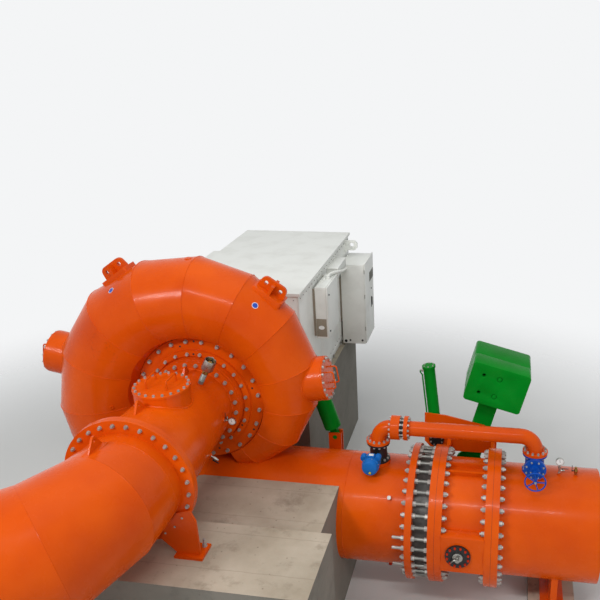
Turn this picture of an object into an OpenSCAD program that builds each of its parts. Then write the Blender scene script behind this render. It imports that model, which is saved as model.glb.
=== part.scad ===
/* [Spiral case] */
// Height of the turbine shaft above the ground
shaft_h = 2900; // [2850:10:3400]
// Outside radius of the inlet pipe, the widest section of the case
line_r = 711; // [690:1:730]
// Section radius that the spiral's taper starts from
case_r_start = 803; // [760:1:830]
// Section radius that the spiral would close to after one turn
case_r_out = 283; // [260:1:320]
// Radius at which the case plates meet the stay ring
stay_r = 800; // [760:5:830]
// Half width of the stay ring along the shaft
stay_half_w = 310; // [280:5:320]
// Flow angle of each welded segment of the case
segment_angle = 24; // [12, 24]
// Distance of the inlet pipe's axis below the shaft
inlet_drop = 1625; // [1590:5:1680]
// Wall of the inlet line's pipes
pipe_wall = 16; // [10:1:25]
// Outside radius of the two manhole nozzles on the case
hatch_r = 205; // [180:5:230]

/* [Head cover] */
// Outside radius of the head cover
cover_r = 845; // [830:5:880]
// Thickness of the head cover's outer ring
cover_t = 60; // [40:5:80]
// Outside radius of the raised middle ring
mid_ring_r = 692; // [660:4:720]
// Height of the middle ring above the outer ring
mid_ring_h = 46; // [30:2:60]
// Radius of the cover's hub, where the draft cone is bolted
hub_r = 604; // [598:2:640]
// Height of the hub's mating face above the outer ring
hub_h = 128; // [110:2:150]

/* [Draft tube] */
// Outside radius of the draft cone at the turbine
cone_r_in = 492; // [460:4:520]
// Outside radius of the draft tube at the elbow flange
cone_r_out = 590; // [560:5:610]
// Outside radius of the draft tube at its outlet
outlet_r = 745; // [700:5:780]
// Wall of the draft tube
draft_wall = 14; // [10:1:20]
// Distance of the elbow flange's mating face from the head cover
elbow_flange_y = 1890; // [1800:10:2000]
// Thickness of each draft tube flange
draft_flange_t = 45; // [30:5:60]
// Outside radius of the elbow flange
draft_flange_r = 735; // [715:5:760]
// Bend radius of the draft elbow
elbow_bend_r = 1200; // [1100:20:1400]
// Fall of the draft tube behind the elbow, in degrees
outlet_fall = 16; // [8:1:20]
// Length of the straight pipe behind the elbow
outlet_len = 1100; // [800:20:1500]
// Outside radius of the manhole on top of the draft cone
manhole_r = 322; // [290:2:330]
// Distance of the manhole from the head cover's face
manhole_y = 960; // [900:10:1020]
// Height of the manhole's rim above the shaft
manhole_h = 636; // [600:4:700]

/* [Inlet valve] */
// Distance of the valve shaft from the turbine shaft
valve_x = 3380; // [3370:5:3400]
// Radius of the flanges of the inlet line
line_flange_r = 877; // [870:1:890]
// Thickness of each flange of the inlet line
line_flange_t = 85; // [70:5:95]
// Bolt circle diameter of the inlet line
line_pcd = 1640; // [1620:2:1650]
// Bolts in each joint of the inlet line
line_bolts = 36; // [32:4:40]
// Face to face length of the butterfly valve
valve_len = 690; // [640:10:740]
// Gap between the dismantling joint's flanges
joint_gap = 200; // [180:5:240]
// Length of the pipe upstream of the valve
upstream_len = 1305; // [1250:5:1600]
// Angle that the counterweight arm stands above the horizontal
lever_angle = 75; // [74:1:80]
// Distance of the counterweight's middle from the valve shaft
weight_arm = 1460; // [1440:5:1500]
// Length of the counterweight across its arm
weight_l = 800; // [700:10:840]
// Height of the counterweight along its arm
weight_h = 590; // [500:10:600]
// Width of the counterweight along the valve shaft
weight_w = 750; // [600:10:760]
// Radius of the counterweight's corners
weight_corner_r = 45; // [30:5:80]
// Stroke of the valve cylinder
stroke = 780; // [740:10:800]
// Outside radius of the valve cylinder
barrel_r = 83; // [76:1:90]

/* [Bypass] */
// Outside radius of the bypass pipe
bypass_r = 96; // [90:1:100]
// Height of the bypass pipe's axis above the inlet axis
bypass_rise = 1220; // [1200:5:1260]
// Bend radius of the two bypass elbows
bypass_bend_r = 185; // [180:5:195]
// Radius of the bypass flanges
bypass_flange_r = 156; // [150:1:160]
// Radius of the handwheel
handwheel_r = 132; // [110:2:150]

/* [Generator] */
// Width of the generator housing
gen_w = 1900; // [1700:20:2100]
// Length of the generator housing
gen_l = 3340; // [3000:20:3600]
// Height of the housing's top above the shaft
gen_top = 910; // [860:10:960]
// Height of the plinth that carries the generator
gen_plinth_h = 2000; // [1960:10:2040]
// Distance of the housing's near end from the middle of the case
gen_gap = 1172; // [1100:10:1400]
// Depth of the terminal cabinet, away from the housing
cabinet_w = 440; // [360:10:560]
// Length of the terminal cabinet along the housing
cabinet_l = 740; // [600:10:900]
// Height of the cabinet's top above the shaft
cabinet_top = 610; // [500:10:700]
// Depth of the flat box on the housing's right side
side_box_w = 190; // [140:10:260]
// Length of the flat box along the housing
side_box_l = 1300; // [1000:10:1400]
// Height of the flat box
side_box_h = 800; // [600:10:860]
// Depth of the box on the housing's left side
left_box_w = 320; // [240:10:400]
// Length of the box on the housing's left side
left_box_l = 1500; // [1200:10:1700]

/* [Hidden] */

orange = [0.93, 0.36, 0.06];
red_orange = [0.85, 0.25, 0.05];
green = [0.05, 0.62, 0.18];
blue = [0.05, 0.3, 0.75];
white = [0.88, 0.89, 0.87];
steel = [0.55, 0.56, 0.57];
dark = [0.15, 0.15, 0.16];
concrete = [0.66, 0.64, 0.6];

// Sides of the round lofts
loft_sides = 48;
$fn = 96;

// Places along the shaft, measured from the middle of the spiral case
cover_face_y = -stay_half_w;
hub_face_y = cover_face_y - hub_h;
elbow_face_y = cover_face_y - elbow_flange_y;
inlet_z = shaft_h - inlet_drop;

// Places along the inlet line
valve_x0 = 3085;
valve_x1 = valve_x0 + valve_len;
line_bore_r = line_r - pipe_wall;
ring_x0 = valve_x0 - line_flange_t;
joint_x1 = ring_x0;
joint_x0 = joint_x1 - joint_gap;
inlet_flange_x = joint_x0 - line_flange_t;
upstream_x1 = valve_x1 + upstream_len;
low_plinth_h = 180;
saddle_x = valve_x1 + 800;
saddle_w = 1000;
saddle_t = 80;
saddle_foot_l = 300;

// A ring of points in the plane of two given directions
function ring(c, e1, e2, a, b) =
    [for (i = [0 : loft_sides - 1])
        let (t = 360 * i / loft_sides) c + e1 * a * cos(t) + e2 * b * sin(t)];

// Solid through a list of rings, ordered so that the first ring's normal points backwards
module loft(rings) {
    n = loft_sides;
    k = len(rings);
    pts = [for (r = rings) for (p = r) p];
    sides = [for (j = [0 : k - 2], i = [0 : n - 1])
        let (a = j * n + i, b = j * n + (i + 1) % n) each [[a, b, b + n], [a, b + n, a + n]]];
    polyhedron(pts, concat(sides,
        [[for (i = [n - 1 : -1 : 0]) i]],
        [[for (i = [0 : n - 1]) (k - 1) * n + i]]));
}

// Pipe wall between outer and inner rings
module tube_loft(outer, inner) {
    n = loft_sides;
    k = len(outer);
    m = k * n;
    pts = concat([for (r = outer) for (p = r) p], [for (r = inner) for (p = r) p]);
    wall = [for (j = [0 : k - 2], i = [0 : n - 1])
        let (a = j * n + i, b = j * n + (i + 1) % n)
        each [[a, b, b + n], [a, b + n, a + n], [m + a, m + b + n, m + b], [m + a, m + a + n, m + b + n]]];
    first = [for (i = [0 : n - 1]) let (b = (i + 1) % n) each [[i, m + i, m + b], [i, m + b, b]]];
    last = [for (i = [0 : n - 1]) let (a = (k - 1) * n + i, b = (k - 1) * n + (i + 1) % n)
        each [[a, m + b, m + a], [a, b, m + b]]];
    polyhedron(pts, concat(wall, first, last));
}

// Cylinder along X from x0 to x1, about the given axis
module along_x(x0, x1, r, y = 0, z = 0) {
    translate([x0, y, z]) rotate([0, 90, 0]) cylinder(h = x1 - x0, r = r);
}

// Cylinder along Y from y0 to y1, about the given axis
module along_y(y0, y1, r, x = 0, z = 0) {
    translate([x, y1, z]) rotate([90, 0, 0]) cylinder(h = y1 - y0, r = r);
}

// Solid of revolution about the shaft, drawn as radius and distance towards the draft tube
module about_shaft(profile) {
    translate([0, 0, shaft_h]) rotate([90, 0, 0]) rotate_extrude() polygon(profile);
}

// Rectangle about the origin with round corners
module rounded(size, r) {
    square([size[0] - 2 * r, size[1]], center = true);
    square([size[0], size[1] - 2 * r], center = true);
    for (x = [-1, 1], y = [-1, 1]) translate([x * (size[0] / 2 - r), y * (size[1] / 2 - r)]) circle(r, $fn = 48);
}

// Box given by its lowest and highest corners
module box(a, b) {
    translate(a) cube(b - a);
}

// Section radius, ring radius and centre of the spiral at a flow angle
function case_r(t) = min(line_r, case_r_start + (case_r_out - case_r_start) * t / 360);
blend_angle = 68;
function case_rho(t) =
    stay_r + sqrt(max(case_r(t) ^ 2 - stay_half_w ^ 2, 1))
    + max(0, 1 - t / blend_angle) * (inlet_drop - stay_r - sqrt(line_r ^ 2 - stay_half_w ^ 2));
function case_dir(t) = [-sin(t), 0, -cos(t)];
function case_centre(t) = [0, 0, shaft_h] + case_dir(t) * case_rho(t);
function case_ring(t, grow = 0) =
    let (r = case_r(t) + grow)
    ring(case_centre(t), case_dir(t), [0, 1, 0],
        t == 0 ? r - 2 : t == nose_angle ? r : r / cos(segment_angle / 2), t == 0 ? r - 2 : r);

// Mitred seams between the segments, and the last segment that has run back into the inlet
nose_angle = 336;
seam_angles = concat([0], [for (t = [segment_angle / 2 : segment_angle : nose_angle]) t], [nose_angle]);
hatch_t = 18;
hatch_gasket_t = 0.3;
hatch_flange_r = hatch_r + 80;
hatch_angle_left = 100.9;
hatch_angle_right = 261.3;
hatch_neck_left = 173;
hatch_neck_right = 118;

// Places a child on the outside of the case at a flow angle, with +Z pointing outwards
module on_case(t, out) {
    translate(case_centre(t) + case_dir(t) * (case_r(t) + out)) rotate([0, 180 + t, 0]) children();
}

module hatch_nozzle(t, neck) {
    on_case(t, 0) {
        translate([0, 0, -0.6 * case_r(t)]) cylinder(h = 0.6 * case_r(t) + neck, r = hatch_r);
        translate([0, 0, neck - 30]) cylinder(h = 30, r = hatch_flange_r);
    }
}

module hatch_cover(t, neck) {
    on_case(t, neck + hatch_gasket_t) {
        cylinder(h = hatch_t, r = hatch_flange_r - 5);
        for (s = [-1, 1]) translate([0, s * hatch_r * 0.45, hatch_t]) handle(hatch_r * 1.1, 70, 9);
    }
}

// Bar handle along X standing on a cover
module handle(l, h, r) {
    for (s = [-1, 1]) translate([s * l / 2, 0, 0]) cylinder(h = h, r = r, $fn = 24);
    translate([0, 0, h]) along_x(-l / 2 - r, l / 2 + r, r, $fn = 24);
}

lug_angle_left = 145.5;
lug_angle_right = 214.5;
lug_pad_h = 12;
weld_gap = 0.02;
lug_pad_l = 420;
lug_pad_w = 280;

module lug_pad(t) {
    on_case(t, 0) translate([-lug_pad_l / 2, -lug_pad_w / 2, -160]) cube([lug_pad_l, lug_pad_w, 160 + lug_pad_h]);
}

// Lifting plate with two holes and a cross gusset
module lug(t) {
    plate_h = 152;
    plate_t = 40;
    hole_r = 26;
    top_r = 76;
    on_case(t, lug_pad_h + weld_gap) {
        difference() {
            translate([0, plate_t / 2, 0]) rotate([90, 0, 0]) linear_extrude(plate_t) hull() {
                translate([-190, 0]) square([380, 20]);
                for (s = [-1, 1]) translate([s * 104, plate_h - top_r]) circle(top_r, $fn = 48);
            }
            for (s = [-1, 1]) translate([0, 0, plate_h - top_r]) along_y(-plate_t, plate_t, hole_r, x = s * 104);
        }
        for (s = [-1, 1]) translate([-plate_t / 2, s > 0 ? plate_t / 2 : -110 - plate_t / 2, 0])
            cube([plate_t, 110, plate_h - 30]);
    }
}

stay_face = stay_half_w - cover_t;
pipe_start_x = 1000;
module stay_ring() {
    along_y(-stay_face, stay_face, stay_r + 62, z = shaft_h);
}

// Clevis that carries the guide vane cylinder, welded to the inlet pipe
servo_x = 1555;
servo_y = 590;
servo_pin_z = shaft_h - 925;
servo_eye_w = 80;
servo_pin_r = 30;
module servo_clevis() {
    difference() {
        for (s = [-1, 1]) box([servo_x - 90, servo_y + s * (servo_eye_w / 2 + 15) - 14, inlet_z + 200],
            [servo_x + 90, servo_y + s * (servo_eye_w / 2 + 15) + 14, servo_pin_z + 60]);
        along_y(servo_y - 100, servo_y + 100, servo_pin_r + 0.05, x = servo_x, z = servo_pin_z);
    }
}

motor_stub_h = 30;
bypass_x0 = 2270;
bypass_x1 = 4270;
plug_x = 2490;
plug_angle = 46;
module case_shell(grow = 0) {
    loft(concat([ring([60, 0, inlet_z], [0, 0, -1], [0, 1, 0], line_r - 9, line_r - 9)],
        [for (t = seam_angles) case_ring(t, grow)]));
}

module scroll_case() {
    color(orange) difference() {
        union() {
            case_shell();
            stay_ring();
            along_x(3, pipe_start_x, line_r, z = inlet_z);
            hatch_nozzle(hatch_angle_left, hatch_neck_left);
            hatch_nozzle(hatch_angle_right, hatch_neck_right);
            lug_pad(lug_angle_left);
            lug_pad(lug_angle_right);
        }
        for (s = [-1, 1]) about_shaft([[0, s * stay_face], [cover_r + 5, s * stay_face], [cover_r + 5, s * stay_half_w],
            [cover_r + 50, s * (stay_half_w + 140)], [0, s * (stay_half_w + 140)]]);
    }
}

module inlet_pipe() {
    color(orange) difference() {
        union() {
            along_x(pipe_start_x, inlet_flange_x, line_r, z = inlet_z);
            along_x(inlet_flange_x, inlet_flange_x + line_flange_t, line_flange_r, z = inlet_z);
            servo_clevis();
            translate([bypass_x0, 0, inlet_z + 600])
                cylinder(h = line_r - 600 + motor_stub_h, r = bypass_flange_r);
            translate([plug_x, 0, inlet_z]) rotate([plug_angle, 0, 0]) translate([0, 0, line_r - 40])
                cylinder(h = 58, r = 32);
        }
        along_x(pipe_start_x - 1, inlet_flange_x + line_flange_t + 1, line_bore_r, z = inlet_z);
    }
}

module head_cover() {
    bore_r = cone_r_in - draft_wall;
    color(orange) about_shaft([
        [bore_r, stay_half_w - cover_t], [cover_r, stay_half_w - cover_t], [cover_r, stay_half_w],
        [mid_ring_r, stay_half_w], [mid_ring_r, stay_half_w + mid_ring_h],
        [hub_r + 14, stay_half_w + mid_ring_h], [hub_r, stay_half_w + mid_ring_h - 14],
        [hub_r, stay_half_w + hub_h], [bore_r, stay_half_w + hub_h]]);
}

vane_count = 20;
ring_out_r = 640;
ring_in_r = 560;
ring_y = stay_half_w + 105;
ring_t = 45;
vane_stem_pcd_r = 770;
ring_arm_r = 1230;
servo_r = 118;
servo_tilt = -17;
servo_l = 540;
servo_head_z = servo_pin_z + (135 + servo_l + 90) * cos(servo_tilt);
servo_head_x = servo_x + (135 + servo_l + 90) * sin(servo_tilt);
rear_hub_r = 420;
rear_hub_h = 160;
module rear_cover() {
    color(orange) about_shaft([
        [0, -stay_half_w - rear_hub_h], [rear_hub_r, -stay_half_w - rear_hub_h],
        [rear_hub_r, -ring_y - ring_t], [ring_in_r - 0.05, -ring_y - ring_t],
        [ring_in_r - 0.05, -stay_half_w - mid_ring_h], [mid_ring_r, -stay_half_w - mid_ring_h],
        [mid_ring_r, -stay_half_w], [cover_r, -stay_half_w],
        [cover_r, -stay_half_w + cover_t], [0, -stay_half_w + cover_t]]);
}

module lug_left() { color(orange) lug(lug_angle_left); }
module lug_right() { color(orange) lug(lug_angle_right); }
module case_hatch_left() { color(orange) hatch_cover(hatch_angle_left, hatch_neck_left); }
module case_hatch_right() { color(orange) hatch_cover(hatch_angle_right, hatch_neck_right); }

// Regulating ring turned by the guide vane cylinder, with a lever for each vane stem
module regulating_ring() {
    color(green) {
        translate([0, ring_y + ring_t, shaft_h]) rotate([90, 0, 0]) linear_extrude(ring_t) difference() {
            union() {
                circle(ring_out_r);
                rotate(atan2(servo_head_z - shaft_h, servo_head_x)) translate([ring_in_r + 30, -60])
                    square([norm([servo_head_x, servo_head_z - shaft_h]) - ring_in_r + 30, 120]);
            }
            circle(ring_in_r);
        }
        for (i = [0 : vane_count - 1]) translate([0, 0, shaft_h]) rotate([0, 360 * (i + 0.5) / vane_count, 0]) {
            along_y(stay_half_w, ring_y + 8, 26, x = vane_stem_pcd_r);
            translate([ring_out_r - 50, ring_y - 30, -33]) cube([vane_stem_pcd_r + 90 - ring_out_r, 45, 66]);
        }
    }
}

// Guide vane cylinder between its clevis and the regulating ring's arm
module gate_servo() {
    color(green) {
        translate([servo_x, servo_y, servo_pin_z]) rotate([0, servo_tilt, 0]) {
            translate([0, 0, 135]) cylinder(h = servo_l, r = servo_r);
            translate([-50, -servo_eye_w / 2, -50]) cube([100, servo_eye_w, 190]);
            translate([0, 0, 135 + servo_l]) cylinder(h = 60, r = 40);
            translate([-45, -servo_eye_w / 2, 185 + servo_l]) cube([90, servo_eye_w, 95]);
        }
        along_y(servo_y - servo_eye_w / 2 - 36, servo_y + servo_eye_w / 2 + 36, servo_pin_r, x = servo_x,
            z = servo_pin_z);
        along_y(ring_y + ring_t, servo_y + servo_eye_w / 2 + 10, servo_pin_r, x = servo_head_x, z = servo_head_z);
    }
}

flange_ring_r = cone_r_in + 104;
cone_flange_t = 42;
cone_y0 = -hub_face_y;
cone_y1 = -elbow_face_y;

boss_h = 16;
air_valve_angle = 28;
air_valve_d = 463;
gauge_angle = 90;
gauge_d = 510;
cock_angle = 120;
cock_d = 890;

module draft_cone() {
    color(orange) difference() {
        union() {
            about_shaft([
                [0, cone_y0], [flange_ring_r, cone_y0], [flange_ring_r, cone_y0 + cone_flange_t],
                [cone_r_in, cone_y0 + cone_flange_t], [cone_r_out, cone_y1 - draft_flange_t],
                [draft_flange_r, cone_y1 - draft_flange_t], [draft_flange_r, cone_y1], [0, cone_y1]]);
            translate([0, cover_face_y - manhole_y, shaft_h + 200]) cylinder(h = manhole_h - 200, r = manhole_r);
            on_cone(-6.5, 1396) eye_plate(220, 120, 17);
            on_cone(0.5, 335) eye_plate(150, 100, 15);
            on_cone(air_valve_angle, air_valve_d, -60) cylinder(h = 60 + boss_h, r = 44);
            on_cone(gauge_angle, gauge_d, -60) cylinder(h = 60 + boss_h, r = 30);
            on_cone(cock_angle, cock_d, -60) cylinder(h = 60 + boss_h, r = 30);
        }
        about_shaft([
            [0, cone_y0 - 1], [cone_r_in - draft_wall, cone_y0 - 1],
            [cone_r_out - draft_wall, cone_y1 + 1], [0, cone_y1 + 1]]);
        translate([0, cover_face_y - manhole_y, shaft_h + 100]) cylinder(h = manhole_h, r = manhole_r - 70);
    }
}

manhole_cover_t = 30;
module draft_manhole_cover() {
    color(orange) translate([0, cover_face_y - manhole_y, shaft_h + manhole_h]) {
        cylinder(h = manhole_cover_t, r = manhole_r + 8);
        for (s = [-1, 1]) translate([s * 125, 0, manhole_cover_t]) rotate([0, 0, 90]) handle(250, 62, 10);
    }
}

// Radius of the draft cone's outside at a distance from the head cover
function cone_r(d) =
    cone_r_in + (cone_r_out - cone_r_in)
    * (d - hub_h - cone_flange_t) / (elbow_flange_y - draft_flange_t - hub_h - cone_flange_t);

// Places a child on the draft cone, with +Z pointing straight out from the shaft
module on_cone(angle, d, out = 0) {
    translate([0, cover_face_y - d, shaft_h]) rotate([0, angle, 0]) translate([0, 0, cone_r(d) + out]) children();
}

module air_valve() {
    color(steel) on_cone(air_valve_angle, air_valve_d, boss_h) {
        cylinder(h = 40, r = 34);
        translate([0, 0, 40]) cylinder(h = 130, r = 24);
        translate([0, 0, 170]) cylinder(h = 40, r = 40);
        difference() {
            translate([0, 0, 210]) cylinder(h = 150, r = 76);
            translate([0, 0, 250]) cylinder(h = 120, r = 64);
        }
    }
}

module draft_gauge() {
    color(steel) on_cone(gauge_angle, gauge_d, boss_h) {
        cylinder(h = 90, r = 11);
        translate([0, 0, 90]) along_y(-32, 32, 52);
        translate([0, 0, 45]) rotate([0, 0, 90]) along_x(-10, 50, 7, z = 0);
    }
}

module draft_cock() {
    color(steel) on_cone(cock_angle, cock_d, boss_h) {
        cylinder(h = 60, r = 16);
        translate([0, 0, 60]) sphere(24, $fn = 48);
        translate([0, 0, 60]) rotate([40, 0, 0]) cylinder(h = 70, r = 7);
    }
}

// Centre line of the elbow: straight out of the flange, then round a mitred bend that falls to the outlet
bend_dir = [-cos(outlet_fall), 0, -sin(outlet_fall)];
bend_start = [0, elbow_face_y - draft_flange_t - 160, shaft_h];
bend_angles = [0, 15, 45, 75, 90];
bend_arc = PI / 2 * elbow_bend_r;
function bend_point(a) = bend_start + [0, -sin(a), 0] * elbow_bend_r + bend_dir * (1 - cos(a)) * elbow_bend_r;
function bend_radial(a) = -bend_dir * cos(a) + [0, -sin(a), 0];
function bend_r(s) = cone_r_out + (outlet_r - cone_r_out) * s / bend_arc;
outlet_end = bend_point(90) + bend_dir * outlet_len;
side_dir = cross(bend_dir, [0, 1, 0]);
function bend_ring(a, cut) =
    let (r = bend_r(bend_arc * a / 90) - cut, c = bend_point(a))
    ring(c, bend_radial(a), side_dir, (a == 0 || a == 90) ? r : r / cos(15), r);
function elbow_rings(cut) = concat(
    [ring([0, elbow_face_y, shaft_h], bend_radial(0), side_dir, cone_r_out - cut, cone_r_out - cut)],
    [for (a = bend_angles) bend_ring(a, cut)],
    [ring(outlet_end, bend_radial(90), side_dir, outlet_r - cut, outlet_r - cut)]);

outlet_flange_r = outlet_r + 90;
outlet_flange_t = 50;
outlet_pcd_r = outlet_r + 48;
outlet_bolts = 24;
outlet_hole_r = 15;
outlet_lip = 6;

// Upright lifting eye, with its foot at the origin and its plate along Y
module eye_plate(l, h, hole_r) {
    translate([-12, 0, 0]) rotate([90, 0, 90]) linear_extrude(24) difference() {
        polygon([[-l / 2, -25], [l / 2, -25], [l / 2, 12], [28, h - 12], [14, h], [-14, h], [-28, h - 12],
            [-l / 2, 12]]);
        translate([0, h - 52]) circle(hole_r, $fn = 32);
    }
}

module draft_elbow() {
    color(orange) {
        tube_loft(elbow_rings(0), elbow_rings(draft_wall));
        difference() {
            along_y(elbow_face_y - draft_flange_t, elbow_face_y, draft_flange_r, z = shaft_h);
            along_y(elbow_face_y - draft_flange_t - 1, elbow_face_y + 1, cone_r_out - draft_wall + 2, z = shaft_h);
        }
        translate(outlet_end) rotate([0, -90 - outlet_fall, 0]) difference() {
            translate([0, 0, outlet_lip - outlet_flange_t]) cylinder(h = outlet_flange_t, r = outlet_flange_r);
            translate([0, 0, -outlet_flange_t]) cylinder(h = outlet_flange_t + 20, r = outlet_r - draft_wall + 2);
            for (i = [0 : outlet_bolts - 1]) rotate(360 * (i + 0.5) / outlet_bolts)
                translate([outlet_pcd_r, 0, -outlet_flange_t]) cylinder(h = outlet_flange_t + 20, r = outlet_hole_r);
        }
        translate([-100, elbow_face_y - 380, shaft_h + cone_r_out]) {
            eye_plate(250, 150, 20);
            translate([-65, -150, -40]) cube([130, 300, 48]);
        }
    }
}

support_x = 610;
support_half_w = 160;
support_h = 850;
support_plate_t = 30;
module draft_support() {
    base_z = shaft_h - support_h;
    back_y = elbow_face_y - draft_flange_t;
    color(orange) for (s = [-1, 1]) {
        box([s * support_x - support_half_w, elbow_face_y - 130, base_z],
            [s * support_x + support_half_w, elbow_face_y + 130, base_z + support_plate_t]);
        difference() {
            translate([0, back_y, base_z + support_plate_t]) rotate([90, 0, 0]) linear_extrude(support_plate_t)
                polygon([[s * 730, 0], [s * 480, 0], [s * 300, 170], [s * 420, 480], [s * 660, 560],
                    [s * 720, 420]]);
            along_y(back_y - 100, back_y + 100, cone_r_out + 8, z = shaft_h);
        }
        translate([s * support_x, 0, 0]) box([-15, back_y - support_plate_t, base_z + support_plate_t],
            [15, elbow_face_y - draft_flange_t - 0.5, base_z + 240]);
    }
}

module joint_sleeve() {
    color(dark) difference() {
        along_x(joint_x0, joint_x1, line_r + 6, z = inlet_z);
        along_x(joint_x0 - 1, joint_x1 + 1, line_bore_r, z = inlet_z);
    }
}

module joint_studs() {
    stud_r = 20;
    color(steel) for (i = [0 : line_bolts - 1])
        translate([0, 0, inlet_z]) rotate([360 * i / line_bolts, 0, 0])
            along_x(joint_x0, joint_x1, stud_r, z = line_pcd / 2, $fn = 24);
}

module line_ring(x0, x1, r) {
    difference() {
        along_x(x0, x1, r, z = inlet_z);
        along_x(x0 - 1, x1 + 1, line_bore_r, z = inlet_z);
    }
}

module joint_ring() {
    color(orange) line_ring(ring_x0, valve_x0, line_flange_r);
}

hub_end_y = 990;
near_hub_y = -865;
bracket_y0 = 1010;
shaft_r = 90;
body_r = line_r + 22;
rib_out_r = 800;
rib_t = 26;
top_rib_angles = [3, 15];
side_rib_angles = [71, 109, 251, 289];
gusset_z0 = 375;
gusset_z1 = 575;

// Rib between the valve's flanges, standing on its shell at an angle from the top
module valve_rib(angle) {
    translate([valve_x0 + 40, 0, inlet_z]) rotate([angle, 0, 0])
        translate([0, -rib_t / 2, body_r - 15]) cube([valve_len - 80, rib_t, rib_out_r - body_r + 15]);
}

module valve_body() {
    color(orange) difference() {
        union() {
            along_x(valve_x0, valve_x1, body_r, z = inlet_z);
            along_x(valve_x0, valve_x0 + line_flange_t, line_flange_r, z = inlet_z);
            along_x(valve_x1 - line_flange_t, valve_x1, line_flange_r, z = inlet_z);
            along_y(near_hub_y, hub_end_y, 175, x = valve_x, z = inlet_z);
            along_y(hub_end_y - 45, hub_end_y, 225, x = valve_x, z = inlet_z);
            for (angle = concat(top_rib_angles, side_rib_angles)) valve_rib(angle);
            for (x = [valve_x0 + 15, valve_x1 - line_flange_t + 15])
                box([x, 690, inlet_z + gusset_z0], [x + 50, bracket_y0, inlet_z + gusset_z1]);
        }
        along_x(valve_x0 - 1, valve_x1 + 1, line_bore_r, z = inlet_z);
        along_y(near_hub_y - 1, hub_end_y + 1, shaft_r + 0.05, x = valve_x, z = inlet_z);
    }
}

module valve_end_cover() {
    color(dark) along_y(near_hub_y - 28, near_hub_y, 156, x = valve_x, z = inlet_z);
}

lever_y0 = 1260;
lever_t = 40;
disc_r = line_bore_r - 10;
slot_gap = 6;
pin_r = 38;
module valve_shaft() {
    color(steel) {
        along_y(near_hub_y + 5, lever_y0 + lever_t + 30, shaft_r, x = valve_x, z = inlet_z);
        translate([valve_x, 0, inlet_z]) intersection() {
            cylinder(h = 120, r = disc_r, center = true);
            sphere(disc_r + 4);
        }
    }
}

// Straight path of the rod's pin, from the open to the closed position of the valve
rod_tilt = 6;
rod_off = 413;
function pin_at(q) = [-rod_off, 0] + [-sin(rod_tilt), cos(rod_tilt)] * stroke * q;
function turned(p, a) = [p[0] * cos(a) - p[1] * sin(a), p[0] * sin(a) + p[1] * cos(a)];
function slot_point(q) = turned(pin_at(q - 0.5), 90 * q);

module valve_lever() {
    steps = 8;
    path = [for (i = [0 : steps]) slot_point(i / steps)];
    color(green) translate([valve_x, lever_y0 + lever_t, inlet_z]) rotate([90, 0, 0]) linear_extrude(lever_t)
        difference() {
            union() {
                circle(190);
                rotate(lever_angle) translate([0, -135]) square([weight_arm - weight_h / 2, 270]);
                rotate(227) translate([0, -130]) square([760, 260]);
            }
            circle(shaft_r + 0.05);
            hull() for (p = path) translate(p) circle(pin_r + slot_gap, $fn = 32);
        }
}

module counterweight() {
    mid_y = lever_y0 + lever_t / 2;
    color(green) translate([valve_x, mid_y, inlet_z]) rotate([0, -lever_angle, 0])
        translate([weight_arm, weight_w / 2, 0]) rotate([90, 0, 0]) linear_extrude(weight_w)
            rounded([weight_h, weight_l], weight_corner_r);
}

bracket_t = 25;
barrel_y = 1150;
shelf_z = 585;
shelf_t = 30;
shelf_r = barrel_r + 12;
rod_r = 38;

// Places a child on the cylinder's axis, with the origin at the pin's middle position
module on_rod() {
    translate([valve_x - rod_off, barrel_y, inlet_z]) rotate([0, -rod_tilt, 0]) children();
}

module cylinder_bracket() {
    back_y = bracket_y0 + bracket_t;
    color(red_orange) difference() {
        union() {
            translate([valve_x, back_y, inlet_z]) rotate([90, 0, 0]) linear_extrude(bracket_t)
                polygon([[-620, 460], [-620, 905], [-330, 885], [220, 765], [400, 625], [400, 325], [-500, 325]]);
            on_rod() translate([-shelf_r - 15, back_y - barrel_y - 10, shelf_z - shelf_t])
                cube([2 * shelf_r + 30, barrel_y + shelf_r - back_y + 10, shelf_t]);
            for (s = [-1, 1]) on_rod() translate([s * (shelf_r - 10) - 12, back_y - barrel_y - 8, shelf_z - 200])
                cube([24, 110, 180]);
        }
        on_rod() translate([0, 0, shelf_z - shelf_t - 1]) cylinder(h = shelf_t + 2, r = rod_r + 8);
    }
}

barrel_l = 1010;
module cylinder_barrel() {
    color(green) on_rod() difference() {
        union() {
            translate([0, 0, shelf_z]) cylinder(h = barrel_l, r = barrel_r);
            translate([0, 0, shelf_z]) cylinder(h = 26, r = shelf_r);
            translate([0, 0, shelf_z + barrel_l - 26]) cylinder(h = 26, r = shelf_r);
        }
        translate([0, 0, shelf_z + 40]) cylinder(h = barrel_l - 70, r = barrel_r - 20);
        translate([0, 0, shelf_z - 1]) cylinder(h = 50, r = rod_r + 0.05);
    }
}

module cylinder_rod() {
    color(steel) on_rod() translate([0, 0, -stroke / 2]) {
        cylinder(h = stroke / 2 + shelf_z + 60, r = rod_r);
        translate([-58, -58, -80]) cube([116, 116, 150]);
        along_y(50, lever_y0 + lever_t - barrel_y + 12, pin_r);
    }
}

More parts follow.
